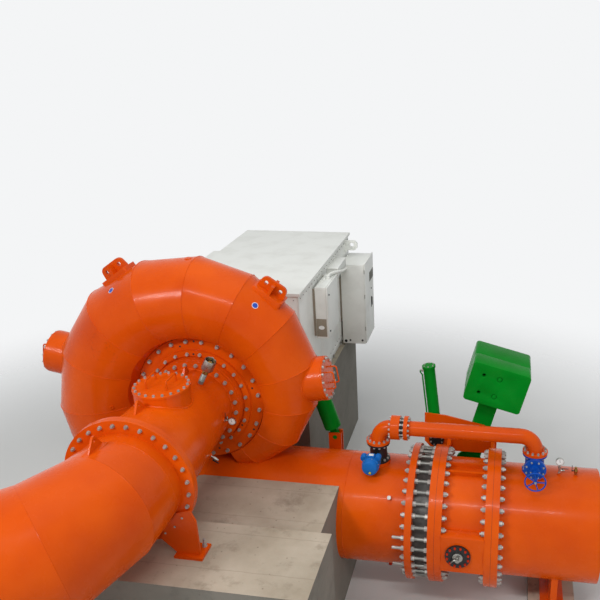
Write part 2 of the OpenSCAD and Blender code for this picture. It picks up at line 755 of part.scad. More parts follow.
module upstream_pipe() {
    color(orange) difference() {
        union() {
            along_x(valve_x1, upstream_x1, line_r, z = inlet_z);
            along_x(valve_x1, valve_x1 + line_flange_t, line_flange_r, z = inlet_z);
            translate([bypass_x1, 0, inlet_z + 600])
                cylinder(h = line_r - 600 + motor_stub_h, r = bypass_flange_r);
            for (x = [line_gauge_x, line_cock_x])
                translate([x, 0, inlet_z + 600]) cylinder(h = line_r - 600 + line_boss_h, r = 26);
            box([saddle_x - saddle_t / 2, -saddle_w / 2, low_plinth_h],
                [saddle_x + saddle_t / 2, saddle_w / 2, inlet_z - 300]);
            box([saddle_x - saddle_foot_l / 2, -saddle_w / 2 - 60, low_plinth_h],
                [saddle_x + saddle_foot_l / 2, saddle_w / 2 + 60, low_plinth_h + 40]);
        }
        along_x(valve_x1 - 1, upstream_x1 + 1, line_bore_r, z = inlet_z);
    }
}

// Bypass line above the inlet line, from the case side to the upstream side
bypass_z = inlet_z + bypass_rise;
bypass_flange_t = 30;
gate_z = inlet_z + line_r + motor_stub_h;
elbow_low_z = bypass_z - bypass_bend_r - bypass_flange_t;

// Quarter bend in the XZ plane, from straight down to along X
module bypass_bend(x, s) {
    translate([x + s * bypass_bend_r, 0, bypass_z - bypass_bend_r]) rotate([90, 0, 0])
        rotate(s > 0 ? 90 : 0) rotate_extrude(angle = 90) translate([bypass_bend_r, 0]) circle(bypass_r, $fn = 48);
}

bypass_end_x = bypass_x0 + bypass_bend_r;
drum_x0 = bypass_end_x + 20;
drum_l = 87;
seal_l = 53;
module bypass_elbow_low() {
    color(orange) {
        bypass_bend(bypass_x0, 1);
        translate([bypass_x0, 0, elbow_low_z]) cylinder(h = bypass_flange_t + 10, r = bypass_r);
        translate([bypass_x0, 0, elbow_low_z]) cylinder(h = bypass_flange_t, r = bypass_flange_r);
        along_x(drum_x0 - bypass_flange_t, drum_x0, bypass_flange_r, z = bypass_z);
    }
}

module bypass_joint() {
    color(orange) along_x(drum_x0, drum_x0 + drum_l, bypass_flange_r, z = bypass_z);
}

module bypass_seal() {
    color(dark) along_x(drum_x0 + drum_l, drum_x0 + drum_l + seal_l, bypass_r + 22, z = bypass_z);
}

module bypass_pipe() {
    x0 = drum_x0 + drum_l + seal_l;
    color(orange) {
        along_x(x0, bypass_x1 - bypass_bend_r, bypass_r, z = bypass_z);
        along_x(x0, x0 + 50, bypass_flange_r, z = bypass_z);
        bypass_bend(bypass_x1, -1);
        translate([bypass_x1, 0, elbow_low_z]) cylinder(h = bypass_flange_t + 10, r = bypass_r);
        translate([bypass_x1, 0, elbow_low_z]) cylinder(h = bypass_flange_t, r = bypass_flange_r);
    }
}

valve_flange_t = 28;
stem_z = (gate_z + elbow_low_z) / 2;
stem_r = 12;
bonnet_y = -300;
actuator_x = bypass_x0 - 55;
actuator_z = stem_z - 65;
module bypass_motor_valve() {
    color(dark) {
        translate([bypass_x0, 0, gate_z]) cylinder(h = elbow_low_z - gate_z, r = 120);
        for (z = [gate_z, elbow_low_z - valve_flange_t])
            translate([bypass_x0, 0, z]) cylinder(h = valve_flange_t, r = bypass_flange_r - 6);
        along_y(-170, 0, 44, x = actuator_x + 20, z = actuator_z);
    }
}

module bypass_actuator() {
    color(blue) {
        along_y(-385, -170, 106, x = actuator_x, z = actuator_z);
        along_y(-300, -170, 114, x = actuator_x, z = actuator_z);
        along_y(-250, -170, 45, x = actuator_x - 100, z = actuator_z + 60);
        along_y(-250, -170, 40, x = actuator_x + 85, z = actuator_z + 75);
    }
}

module bypass_gate_valve() {
    color(blue) difference() {
        union() {
            translate([bypass_x1, 0, gate_z]) cylinder(h = elbow_low_z - gate_z, r = 118);
            for (z = [gate_z, elbow_low_z - valve_flange_t])
                translate([bypass_x1, 0, z]) cylinder(h = valve_flange_t, r = bypass_flange_r - 4);
            along_y(-175, 0, 102, x = bypass_x1, z = stem_z);
            along_y(-208, -165, 136, x = bypass_x1, z = stem_z);
            along_y(-262, -208, 72, x = bypass_x1, z = stem_z);
            along_y(bonnet_y, -262, 34, x = bypass_x1, z = stem_z);
        }
        along_y(bonnet_y - 1, bonnet_y + 140, stem_r + 0.05, x = bypass_x1, z = stem_z);
    }
}

wheel_y = -470;
module bypass_handwheel() {
    color(blue) {
        translate([bypass_x1, wheel_y, stem_z]) rotate([90, 0, 0]) {
            rotate_extrude() translate([handwheel_r - 9, 0]) circle(9, $fn = 32);
            cylinder(h = 30, r = 24, center = true);
            for (i = [0 : 4]) rotate(72 * i) translate([10, -7, -5]) cube([handwheel_r - 19, 14, 10]);
        }
        along_y(wheel_y, bonnet_y + 120, stem_r, x = bypass_x1, z = stem_z);
    }
}

line_boss_h = 14;
line_gauge_x = 4580;
line_cock_x = 4780;
module line_gauge() {
    color(steel) translate([line_gauge_x, 0, inlet_z + line_r + line_boss_h]) {
        cylinder(h = 130, r = 10);
        translate([0, 0, 175]) along_y(-20, 20, 52);
        translate([0, 0, 45]) along_x(-25, 62, 9);
    }
}

module line_cock() {
    color(steel) translate([line_cock_x, 0, inlet_z + line_r + line_boss_h]) {
        cylinder(h = 108, r = 13);
        translate([0, 0, 40]) cylinder(h = 40, r = 24);
        translate([0, 0, 58]) along_x(-52, 40, 9);
    }
}

// Generator
gen_y0 = gen_gap;
gen_y1 = gen_gap + gen_l;
gen_base_h = 110;
gen_bottom = gen_plinth_h + gen_base_h;
cover_over = 28;
gen_cover_t = 42;
module generator_housing() {
    color(white) box([-gen_w / 2, gen_y0, gen_bottom], [gen_w / 2, gen_y1, shaft_h + gen_top]);
}

module generator_cover() {
    color(white) box([-gen_w / 2 - cover_over, gen_y0 - cover_over, shaft_h + gen_top],
        [gen_w / 2 + cover_over, gen_y1 + cover_over, shaft_h + gen_top + gen_cover_t]);
}

gen_lug_l = 230;
gen_lug_h = 180;
gen_lug_t = 40;
module generator_lug() {
    color(white) translate([gen_w / 2, gen_y1 - 300 + gen_lug_t, shaft_h + gen_top - gen_lug_h - 20])
        rotate([90, 0, 0]) linear_extrude(gen_lug_t) difference() {
            polygon([[0, -60], [60, 0], [gen_lug_l - 50, 0], [gen_lug_l, 50], [gen_lug_l, gen_lug_h - 50],
                [gen_lug_l - 50, gen_lug_h], [0, gen_lug_h]]);
            translate([130, 100]) circle(38);
        }
}

shield_r = 620;
shield_l = 120;
module end_shield() {
    color(white) along_y(gen_y0 - shield_l, gen_y0, shield_r, z = shaft_h);
}

module generator_base() {
    color(white) box([-gen_w / 2 + 30, gen_y0 + 30, gen_plinth_h], [gen_w / 2 - 30, gen_y1 - 30, gen_bottom]);
}

// Terminal cabinet with its door, which is a little taller and longer than the body
cabinet_y1 = gen_y1 - 112;
cabinet_y0 = cabinet_y1 - cabinet_l;
cabinet_z0 = gen_plinth_h + 40;
cabinet_door_t = 24;
module side_cabinet() {
    color(white) {
        box([gen_w / 2, cabinet_y0, cabinet_z0], [gen_w / 2 + cabinet_w, cabinet_y1, shaft_h + cabinet_top]);
        box([gen_w / 2 + cabinet_w - 1, cabinet_y0 + 6, cabinet_z0 + 12],
            [gen_w / 2 + cabinet_w + cabinet_door_t, cabinet_y1 + 30, shaft_h + cabinet_top + 14]);
    }
}

side_box_y0 = gen_y0 + 728;
side_box_door_t = 20;
module side_box() {
    color(white) {
        box([gen_w / 2, side_box_y0, shaft_h],
            [gen_w / 2 + side_box_w - side_box_door_t, side_box_y0 + side_box_l, shaft_h + side_box_h]);
        box([gen_w / 2 + side_box_w - side_box_door_t - 1, side_box_y0 + 8, shaft_h + 8],
            [gen_w / 2 + side_box_w, side_box_y0 + side_box_l - 8, shaft_h + side_box_h - 8]);
    }
}

// Small box that fills the space between the flat box and the cabinet
small_box_w = 150;
small_box_h = 300;
box_gap = 50;
module small_box() {
    color(white) box([gen_w / 2, side_box_y0 + side_box_l + box_gap, shaft_h + side_box_h - small_box_h],
        [gen_w / 2 + small_box_w, cabinet_y0 - box_gap - 10, shaft_h + side_box_h]);
}

left_box_y0 = gen_y0 + 900;
left_box_drop = 200;
left_box_top = 820;
module left_box() {
    color(white) box([-gen_w / 2 - left_box_w, left_box_y0, shaft_h - left_box_drop],
        [-gen_w / 2, left_box_y0 + left_box_l, shaft_h + left_box_top]);
}

main_shaft_r = 140;
module turbine_shaft() {
    color(steel) along_y(stay_half_w + rear_hub_h, gen_y0 - shield_l, main_shaft_r, z = shaft_h);
}

case_plinth_h = 1835;
case_plinth_x = 1825;
case_plinth_y = 425;
floor_far_y = -1670;
floor_near_y = -2740;
floor_right_x = 2030;
module generator_plinth() {
    color(concrete) box([-gen_w / 2 - 60, gen_y0 - 40, 0], [gen_w / 2 + 60, gen_y1 + 60, gen_plinth_h]);
}

module draft_plinth() {
    color(concrete) box([-support_x - 260, floor_near_y, 0], [floor_right_x, floor_far_y, shaft_h - support_h]);
}

// Concrete cast round the lower half of the case and the inlet pipe, with a hair of play for paint
seat_gap = 0.3;
module case_plinth() {
    color(concrete) difference() {
        box([-case_plinth_x, floor_far_y, 0], [case_plinth_x, case_plinth_y, case_plinth_h]);
        case_shell(seat_gap);
        along_x(1, case_plinth_x + 1, line_r + seat_gap, z = inlet_z);
    }
}

module valve_plinth() {
    color(concrete) box([saddle_x - saddle_foot_l, -saddle_w / 2 - 150, 0],
        [saddle_x + saddle_foot_l, saddle_w / 2 + 150, low_plinth_h]);
}

scroll_case();
inlet_pipe();
head_cover();
rear_cover();
regulating_ring();
lug_left();
lug_right();
case_hatch_left();
case_hatch_right();
gate_servo();
draft_cone();
draft_manhole_cover();
air_valve();
draft_gauge();
draft_cock();
draft_elbow();
draft_support();
joint_sleeve();
joint_studs();
joint_ring();
valve_body();
valve_end_cover();
valve_shaft();
valve_lever();
counterweight();
cylinder_bracket();
cylinder_barrel();
cylinder_rod();
upstream_pipe();
bypass_elbow_low();
bypass_joint();
bypass_seal();
bypass_pipe();
bypass_motor_valve();
bypass_actuator();
bypass_gate_valve();
bypass_handwheel();
line_gauge();
line_cock();
generator_housing();
generator_cover();
generator_lug();
end_shield();
generator_base();
side_cabinet();
side_box();
small_box();
left_box();
turbine_shaft();
generator_plinth();
draft_plinth();
case_plinth();
valve_plinth();
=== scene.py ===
"""Looks of the hydroelectric generating set: paints, fasteners, weld beads and small fittings."""
from math import cos, pi, radians, sin, sqrt, tau

import bmesh
import bpy
from mathutils import Matrix, Vector
from mathutils.bvhtree import BVHTree


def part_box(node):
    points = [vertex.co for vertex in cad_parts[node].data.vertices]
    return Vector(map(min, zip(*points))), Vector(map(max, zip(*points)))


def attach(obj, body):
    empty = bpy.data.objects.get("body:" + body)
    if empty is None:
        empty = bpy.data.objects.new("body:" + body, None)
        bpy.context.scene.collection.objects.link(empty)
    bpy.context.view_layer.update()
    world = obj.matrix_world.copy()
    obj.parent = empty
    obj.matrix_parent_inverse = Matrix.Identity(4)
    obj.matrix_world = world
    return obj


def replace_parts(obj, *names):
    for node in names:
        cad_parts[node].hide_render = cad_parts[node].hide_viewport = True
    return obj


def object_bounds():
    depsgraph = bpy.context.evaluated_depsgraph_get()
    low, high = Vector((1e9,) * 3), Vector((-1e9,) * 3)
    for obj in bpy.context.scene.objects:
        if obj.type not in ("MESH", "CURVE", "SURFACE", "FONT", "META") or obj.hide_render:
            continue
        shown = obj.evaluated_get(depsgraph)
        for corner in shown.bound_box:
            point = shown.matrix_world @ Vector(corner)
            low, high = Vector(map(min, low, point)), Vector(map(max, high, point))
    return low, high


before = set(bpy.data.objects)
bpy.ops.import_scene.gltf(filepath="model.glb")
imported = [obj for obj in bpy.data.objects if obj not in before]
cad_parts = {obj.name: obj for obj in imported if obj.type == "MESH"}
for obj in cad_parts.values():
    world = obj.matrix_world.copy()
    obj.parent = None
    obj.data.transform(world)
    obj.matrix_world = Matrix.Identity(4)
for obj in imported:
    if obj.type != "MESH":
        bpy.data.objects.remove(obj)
LOADED_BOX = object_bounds()

MM = 0.001

# Driving sizes of the set, in metres, as in the CAD frame
SHAFT_H = 2.9
COVER_Y = -0.310
MID_RING_Y = -0.356
CONE_FLANGE_Y = -0.480
ELBOW_Y = -2.200
DRAFT_FLANGE_T = 0.045
LINE_DROP = 1.625
LINE_Z = SHAFT_H - LINE_DROP
LINE_R = 0.711
LINE_PCD_R = 0.820
LINE_BOLTS = 36
VALVE_X = 3.380
VALVE_X0 = 3.085
VALVE_X1 = VALVE_X0 + 0.690
FLANGE_T = 0.085
JOINT_GAP = 0.200
BYPASS_Z = LINE_Z + 1.220
BYPASS_BEND = 0.185
BYPASS_FLANGE_T = 0.030
BYPASS_PCD_R = 0.130
BYPASS_XS = (2.270, 4.270)
GATE_Z = LINE_Z + LINE_R + 0.030
GEN_HALF_W = 0.950
GEN_Y0, GEN_Y1 = 1.172, 4.512
GEN_TOP = SHAFT_H + 0.910
GEN_BOTTOM = 2.110

X, Y, Z = Vector((1, 0, 0)), Vector((0, 1, 0)), Vector((0, 0, 1))

# The photo's eye point, its directions and its focal length in pixels of a 600 by 600 frame
PHOTO_SIDE = 600.0
FOCAL_PX = 750.8
CENTRE_PX = (370.6, 302.5)
SENSOR_MM = 36.0
CAMERA_AT = Vector((3.862, -8.429, 7.341))
FORWARD = Vector((-0.1799, 0.9217, -0.3436)).normalized()
RIGHT = Vector((0.9829, 0.1823, -0.0256))
RIGHT = (RIGHT - FORWARD * RIGHT.dot(FORWARD)).normalized()
UP = RIGHT.cross(FORWARD)


def linear(code):
    """Linear colour of an sRGB hex value."""
    parts = [int(code[i:i + 2], 16) / 255 for i in (1, 3, 5)]
    return tuple(p / 12.92 if p <= 0.04045 else ((p + 0.055) / 1.055) ** 2.4 for p in parts) + (1.0,)


def add(tree, kind, inputs=None, **settings):
    """Adds a node with its settings and links, a node among its inputs standing for its first live output."""
    node = tree.nodes.new(kind)
    for name, value in settings.items():
        setattr(node, name, value)
    for key, value in (inputs or {}).items():
        if isinstance(value, bpy.types.Node):
            value = next(socket for socket in value.outputs if socket.enabled)
        if isinstance(value, bpy.types.NodeSocket):
            tree.links.new(value, node.inputs[key])
        else:
            node.inputs[key].default_value = value
    return node


def per_metre(size_mm):
    """Texture scale for a pattern of the given size in millimetres."""
    return 1000.0 / size_mm


def start(name):
    """New material with an empty tree, its tree and its object coordinates."""
    material = bpy.data.materials.new(name)
    material.use_nodes = True
    tree = material.node_tree
    tree.nodes.clear()
    return material, tree, add(tree, "ShaderNodeTexCoord").outputs["Object"]


def finish_material(material, tree, place, colour, rough, waves=None, **fixed):
    """Principled shader over waves of a size in mm, a detail and a height in mm."""
    inputs = {"Base Color": colour, "Roughness": rough}
    inputs.update({key.replace("_", " "): value for key, value in fixed.items()})
    if waves:
        size_mm, detail, height_mm = waves
        height = add(tree, "ShaderNodeTexNoise", {"Vector": place, "Scale": per_metre(size_mm),
                                                  "Detail": detail})
        inputs["Normal"] = add(tree, "ShaderNodeBump", {"Height": height, "Strength": 1.0,
                                                        "Distance": height_mm * MM})
    add(tree, "ShaderNodeOutputMaterial", {"Surface": add(tree, "ShaderNodeBsdfPrincipled", inputs)})
    return material


def cloud(tree, place, size_mm, low=0.3, high=0.7, least=0.0, most=1.0, detail=2.0, rough=0.5):
    """Cloudy pattern of a real size, stretched between two values."""
    pattern = add(tree, "ShaderNodeTexNoise", {"Vector": place, "Scale": per_metre(size_mm),
                                               "Detail": detail,
                                               "Roughness": rough})
    return add(tree, "ShaderNodeMapRange", {"Value": pattern, "From Min": low, "From Max": high,
                                            "To Min": least, "To Max": most})


def patches(tree, place, under, over, size_mm, low=0.3, high=0.7, **look):
    """Colour with soft patches of another over it."""
    cover = cloud(tree, place, size_mm, low, high, **look)
    return add(tree, "ShaderNodeMix", {"Factor": cover, 6: under, 7: over}, data_type="RGBA")


def enamel(name, code, thin_code, rough=0.25, rubbed_at=None, shine=0.10):
    """Sprayed alkyd enamel on plate: an uneven film, chips, settled dust and, on the case, rub marks."""
    material, tree, place = start(name)
    film = patches(tree, place, linear(code), linear(thin_code), 700, detail=3.0)
    film = patches(tree, place, film, linear("#5E2A18"), 34, 0.74, 0.80, most=0.25, detail=4.0, rough=0.7)
    film = patches(tree, place, film, linear("#8E7A66"), 240, 0.50, 0.80, most=0.02, detail=5.0, rough=0.65)
    if rubbed_at:
        away = add(tree, "ShaderNodeVectorMath", {0: place, 1: rubbed_at}, operation="DISTANCE")
        reach = add(tree, "ShaderNodeMapRange", {"Value": away, "From Min": 0.12, "From Max": 0.34,
                                                 "To Min": 0.75, "To Max": 0.0})
        film = patches(tree, place, film, linear("#5A1A08"), 48, 0.56, 0.62, most=reach, detail=6.0,
                       rough=0.75)
    gloss = cloud(tree, place, 180, least=rough - 0.06, most=rough + 0.08, detail=4.0)
    return finish_material(material, tree, place, film, gloss, (260, 1.0, 1.2), Specular_IOR_Level=shine,
                           Coat_Weight=0.6 * shine, Coat_Roughness=0.05)


def plain_metal(name, code, rough, metallic=1.0):
    """Turned, plated or cast metal, its tone and gloss a little uneven from handling."""
    material, tree, place = start(name)
    bright = linear(code)
    dull = tuple(part * 0.6 for part in bright[:3]) + (1.0,)
    tone = patches(tree, place, bright, dull, 60, detail=3.0)
    gloss = cloud(tree, place, 60, least=rough - 0.05, most=rough + 0.08, detail=3.0)
    return finish_material(material, tree, place, tone, gloss, Metallic=metallic)


def powder_coat(name, code, grime_code="#A9A59A"):
    """Textured powder coat on folded sheet, with faint grime in broad patches."""
    material, tree, place = start(name)
    colour = patches(tree, place, linear(code), linear(grime_code), 420, 0.48, 0.80, most=0.25, detail=5.0,
                     rough=0.6)
    gloss = cloud(tree, place, 420, least=0.42, most=0.56, detail=5.0, rough=0.6)
    # A real coat's grain of about 1 mm is drawn at 30 mm, the finest that shows
    return finish_material(material, tree, place, colour, gloss, (30, 2.0, 0.15), Specular_IOR_Level=0.4)


def moulded(name, code, rough):
    """Moulded rubber or plastic, one colour whose skin is a little uneven in its sheen."""
    material, tree, place = start(name)
    gloss = cloud(tree, place, 40, least=rough - 0.06, most=rough + 0.06)
    return finish_material(material, tree, place, linear(code), gloss, Specular_IOR_Level=0.4)


def cast_concrete(name, pale, deep, stain):
    """Concrete struck off on top and cast against boards, with air holes, damp stains, joints and painted
    shade that darkens the faces that do not look up.
    """
    material, tree, place = start(name)
    colour = patches(tree, place, linear(pale), linear(deep), 900, 0.30, 0.72, detail=6.0, rough=0.6)
    colour = patches(tree, place, colour, linear(stain), 330, 0.54, 0.72, most=0.6, detail=6.0, rough=0.7)
    parts = add(tree, "ShaderNodeSeparateXYZ", {"Vector": place}).outputs
    normal = add(tree, "ShaderNodeNewGeometry").outputs["Normal"]
    up = add(tree, "ShaderNodeSeparateXYZ", {"Vector": normal}).outputs["Z"]
    on_top = add(tree, "ShaderNodeMath", {0: up, 1: 0.7}, operation="GREATER_THAN")
    # Joints 600 mm apart, along Y on the struck top and along Z on the boarded sides
    run = add(tree, "ShaderNodeMix", {"Factor": on_top, 2: parts["Z"], 3: parts["Y"]})
    damp = add(tree, "ShaderNodeTexNoise", {"Vector": place, "Scale": per_metre(330), "Detail": 6.0,
                                            "Roughness": 0.7})
    wobble = add(tree, "ShaderNodeMath", {0: damp, 1: 0.05, 2: run}, operation="MULTIPLY_ADD")
    board = add(tree, "ShaderNodeMath", {0: wobble, 1: 0.3}, operation="PINGPONG")
    joint = add(tree, "ShaderNodeMapRange", {"Value": board, "From Max": 0.009, "To Min": 0.35,
                                             "To Max": 0.0})
    bubbles = add(tree, "ShaderNodeTexVoronoi", {"Vector": place, "Scale": per_metre(120)})
    pits = add(tree, "ShaderNodeMapRange", {"Value": bubbles, "From Min": 0.05, "From Max": 0.11,
                                            "To Min": 0.5,
                                            "To Max": 0.0})
    # Painted shade: every face that does not look up is mixed 70 % towards grey
    painted_side_shade = add(tree, "ShaderNodeMath", {0: on_top, 1: -0.7, 2: 0.7}, operation="MULTIPLY_ADD")
    for cover, code in ((joint, stain), (pits, "#5D5246"), (painted_side_shade, "#5A5C5A")):
        colour = add(tree, "ShaderNodeMix", {"Factor": cover, 6: colour, 7: linear(code)}, data_type="RGBA")
    gloss = cloud(tree, place, 900, 0.30, 0.72, 0.75, 0.9, 6.0, 0.6)
    return finish_material(material, tree, place, colour, gloss, (26, 4.0, 1.5), Specular_IOR_Level=0.25)


def glass_dial(name):
    """Printed dial behind flat glass."""
    material, tree, place = start(name)
    print_tone = patches(tree, place, linear("#F1F2EF"), linear("#E2E4E1"), 30, 0.0, 1.0)
    return finish_material(material, tree, place, print_tone, 0.2, Coat_Weight=1.0, Coat_Roughness=0.02)


# Rub marks sit where slings touched the left flank of the case
RUBBED_AT = (-1.10, -0.37, 3.65)
# Sprayed orange enamel: deep and warm, with a wet gloss along the rolled plate, redder where it is thin
ORANGE = enamel("orange_gloss_enamel", "#DE5808", "#CC4806")
CASE_ORANGE = enamel("orange_gloss_enamel_rubbed", "#DE5808", "#CC4806", rubbed_at=RUBBED_AT)
# Brushed touch-up enamel on bolt heads: the same orange, redder and duller
RED_ORANGE = enamel("red_orange_touch_up_enamel", "#C8300C", "#B32A0A", rough=0.4)
# Sprayed green enamel on the moving parts: a strong leaf green, glossy, nearly black in shade
GREEN = enamel("green_gloss_enamel", "#078E26", "#05781B", shine=0.03)
# Epoxy enamel on cast iron: full blue, glossy over the casting's soft edges
BLUE = enamel("blue_epoxy_enamel", "#1152B8", "#0D469F")
# Polyester coat on die-cast aluminium: a lighter, cleaner blue with a satin sheen
ACTUATOR_BLUE = enamel("light_blue_polyester_enamel", "#1C6CBC", "#175FA8", rough=0.36)
# Zinc-plated bolts and nuts: pale grey, satin, greyer where spanners turned them
ZINC = plain_metal("zinc_plated_steel", "#BBB8B2", 0.46, metallic=0.45)
# Turned steel shafts: bright and streak-free, with sharp reflections
BRIGHT_STEEL = plain_metal("turned_bright_steel", "#C3C4C6", 0.22)
# Hard chrome on the cylinder's rod: a mirror with a cold tint
CHROME = plain_metal("hard_chrome_on_steel", "#D5D7DA", 0.10)
# Brushed stainless steel of valves and gauges: a soft warm grey shine
STAINLESS = plain_metal("brushed_stainless_steel", "#B9B8B2", 0.30)
# Cast and machined brass: dull yellow with brown patches
BRASS = plain_metal("cast_brass", "#A98A4A", 0.35)
# Oiled mild steel of the slide sleeve: dark grey with a greasy half-shine
GREY_STEEL = plain_metal("grey_oiled_steel_sleeve", "#5B5A57", 0.42, metallic=0.6)
# Black epoxy on cast iron: nearly black with a soft broad shine
BLACK_IRON = moulded("black_epoxy_on_cast_iron", "#1B1B1D", 0.42)
# Oiled studs of the slide joint: mid grey with a greasy shine
STUD_STEEL = plain_metal("oiled_steel_studs", "#94958F", 0.38, metallic=0.5)
# Gasket edge under paint: a thin line between two flanges, its dark red painted shade of the joint's crease
GASKET_AND_JOINT_SHADE = moulded("gasket_edge_and_painted_joint_shade", "#7A1E05", 0.6)
# Moulded rubber of grommets and seals: matt black; the same black serves as painted shade in holes and slots
RUBBER_AND_HOLE_SHADE = moulded("black_rubber_and_painted_hole_shade", "#1C1B1B", 0.7)
# Moulded polyamide of the hand override: clean yellow
YELLOW = moulded("yellow_moulded_plastic", "#C9B324", 0.4)
# Vinyl film of the round stickers: flat colour with a smooth shine
STICKER_BLUE = moulded("blue_vinyl_sticker", "#2446A8", 0.35)
STICKER_WHITE = moulded("white_vinyl_sticker", "#E6E7E4", 0.4)
# White powder coat on sheet steel: a chalky off-white with a soft sheen
WHITE = powder_coat("white_powder_coated_steel", "#E8E9E3")
# Brownish grey, dull sheet: primer on the spacers, and a darker panel low on the flat box's near face
GREY_PANEL = powder_coat("brown_grey_dull_sheet", "#8F8575", "#7A7163")
# Louvred sheet in dark grey paint: flat and dull
VENT_GREY = powder_coat("dark_grey_painted_louvres", "#77776F", "#5F5F58")
# Concrete cast against boards: cloudy warm grey, matt, with pits, damp stains and joints, and painted shade
# on its sides
CONCRETE = cast_concrete("board_formed_concrete", "#BFB5A3", "#9C917E", "#766B5B")
# Enamel dial behind glass: white with a hard clear highlight
DIAL = glass_dial("white_dial_under_glass")

# Material of each CAD node by its name, where it is not orange, concrete or white
NODE_FINISH = {
    "gate_servo": GREEN, "regulating_ring": GREEN, "valve_lever": GREEN, "cylinder_barrel": GREEN,
    "bypass_gate_valve": BLUE, "bypass_handwheel": BLUE, "joint_studs": STUD_STEEL,
               "joint_sleeve": GREY_STEEL,
    "valve_end_cover": BLACK_IRON, "bypass_seal": RUBBER_AND_HOLE_SHADE, "valve_shaft": BRIGHT_STEEL,
    "turbine_shaft": BRIGHT_STEEL, "cylinder_rod": CHROME,
}
for node_name, node_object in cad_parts.items():
    if node_name.endswith("plinth"):
        look = CONCRETE
    elif node_name.startswith(("generator", "end_shield", "side_", "small_box", "left_box")):
        look = WHITE
    else:
        look = NODE_FINISH.get(node_name, ORANGE)
    if not node_object.material_slots:
        node_object.data.materials.append(look)
    for material_slot in node_object.material_slots:
        material_slot.material = look


def facing(origin, normal=Z, across=X):
    """Matrix that carries local Z to the normal and local X towards the given direction."""
    z = Vector(normal).normalized()
    x = (Vector(across) - z * Vector(across).dot(z)).normalized()
    y = z.cross(x)
    turn = Matrix((x, y, z)).transposed().to_4x4()
    return Matrix.Translation(Vector(origin)) @ turn


def moved(place, x=0.0, y=0.0, z=0.0):
    """Place moved along its own axes."""
    return place @ Matrix.Translation((x, y, z))


def place_mesh(form, matrix=Matrix(), hard=radians(32)):
    """Mesh of a bmesh, with outward faces, hard edges above an angle, carried to its place."""
    bmesh.ops.remove_doubles(form, verts=form.verts, dist=1e-6)
    bmesh.ops.recalc_face_normals(form, faces=form.faces)
    for face in form.faces:
        face.smooth = True
    for edge in form.edges:
        edge.smooth = len(edge.link_faces) == 2 and edge.calc_face_angle(0.0) < hard
    mesh = bpy.data.meshes.new("part")
    form.to_mesh(mesh)
    form.free()
    mesh.transform(matrix)
    return mesh


def lathe(profile, matrix=Matrix(), sides=48):
    """Closed solid of revolution about local Z through (radius, height) points."""
    form = bmesh.new()
    rings = []
    for radius, height in profile:
        if radius < 1e-6:
            rings.append([form.verts.new((0, 0, height))] * sides)
        else:
            rings.append([form.verts.new((x, y, height)) for x, y in circle(radius, count=sides)])
    for low_ring, high_ring in zip(rings, rings[1:]):
        for i in range(sides):
            j = (i + 1) % sides
            corners = list(dict.fromkeys((low_ring[i], low_ring[j], high_ring[j], high_ring[i])))
            if len(corners) > 2:
                form.faces.new(corners)
    for ring in (rings[0], rings[-1]):
        if len(set(ring)) == sides and profile[0] != profile[-1]:
            form.faces.new(ring)
    return place_mesh(form, matrix)


def disc(radius, height, matrix, sides=32, edge=0.0):
    """Round plate or post standing on its place, with an optional chamfer."""
    if edge:
        profile = [(0, 0), (radius, 0), (radius, height - edge), (radius - edge, height), (0, height)]
    else:
        profile = [(0, 0), (radius, 0), (radius, height), (0, height)]
    return lathe(profile, matrix, sides)


def block(corner, far_corner, edge=0.0, matrix=Matrix()):
    """Box between two opposite corners with chamfered edges."""
    low, high = [Vector([pick(pair) for pair in zip(corner, far_corner)]) for pick in (min, max)]
    form = bmesh.new()
    bmesh.ops.create_cube(form, size=1.0)
    for vert in form.verts:
        vert.co = vert.co * (high - low) + (low + high) / 2
    if edge:
        bmesh.ops.bevel(form, geom=form.edges[:], offset=edge, segments=2, affect="EDGES", profile=0.5)
    return place_mesh(form, matrix)


def tube(points, radius, closed=False, sides=10):
    """Round bar swept along points."""
    points = [Vector(p) for p in points]
    count = len(points)
    form = bmesh.new()
    rings, across = [], None
    for index, point in enumerate(points):
        after = points[(index + 1) % count] if closed or index < count - 1 else point
        before = points[index - 1] if closed or index > 0 else point
        along = (after - before).normalized()
        if across is None:
            across = along.orthogonal().normalized()
        across = (across - along * across.dot(along)).normalized()
        side = along.cross(across)
        rings.append([form.verts.new(point + (across * cos(a) + side * sin(a)) * radius)
                      for a in (tau * i / sides for i in range(sides))])
    pairs = list(zip(rings, rings[1:]))
    if closed:
        shift = min(range(sides), key=lambda k: (rings[0][k].co - rings[-1][0].co).length)
        pairs.append((rings[-1], rings[0][shift:] + rings[0][:shift]))
    for first, second in pairs:
        for i in range(sides):
            form.faces.new((first[i], first[(i + 1) % sides], second[(i + 1) % sides], second[i]))
    if not closed:
        form.faces.new(rings[0])
        form.faces.new(rings[-1])
    return place_mesh(form)


def plate(outlines, low, high, matrix=Matrix(), edge=0.0):
    """Flat plate between two heights, from a closed outline and the outlines of its holes."""
    form = bmesh.new()
    edges = []
    for outline in outlines:
        verts = [form.verts.new((x, y, low)) for x, y in outline]
        edges += [form.edges.new((verts[i - 1], verts[i])) for i in range(len(verts))]
    bmesh.ops.triangle_fill(form, edges=edges, use_beauty=True)
    lifted = bmesh.ops.extrude_face_region(form, geom=form.faces[:])
    bmesh.ops.translate(form, verts=[v for v in lifted["geom"] if isinstance(v, bmesh.types.BMVert)],
                        vec=(0, 0, high - low))
    bmesh.ops.dissolve_limit(form, angle_limit=0.001, verts=form.verts, edges=form.edges)
    if edge:
        rims = [e for e in form.edges if len(e.link_faces) == 2 and e.calc_face_angle(0) > 1.2
                and abs(e.verts[0].co.z - e.verts[1].co.z) < 1e-6]
        bmesh.ops.bevel(form, geom=rims, offset=edge, segments=3, affect="EDGES", profile=0.5)
    return place_mesh(form, matrix)


def circle(radius, at=(0, 0), count=32, first=0.0):
    """Points of a circle about a place."""
    turns = [tau * (i + first) / count for i in range(count)]
    return [(at[0] + radius * cos(turn), at[1] + radius * sin(turn)) for turn in turns]


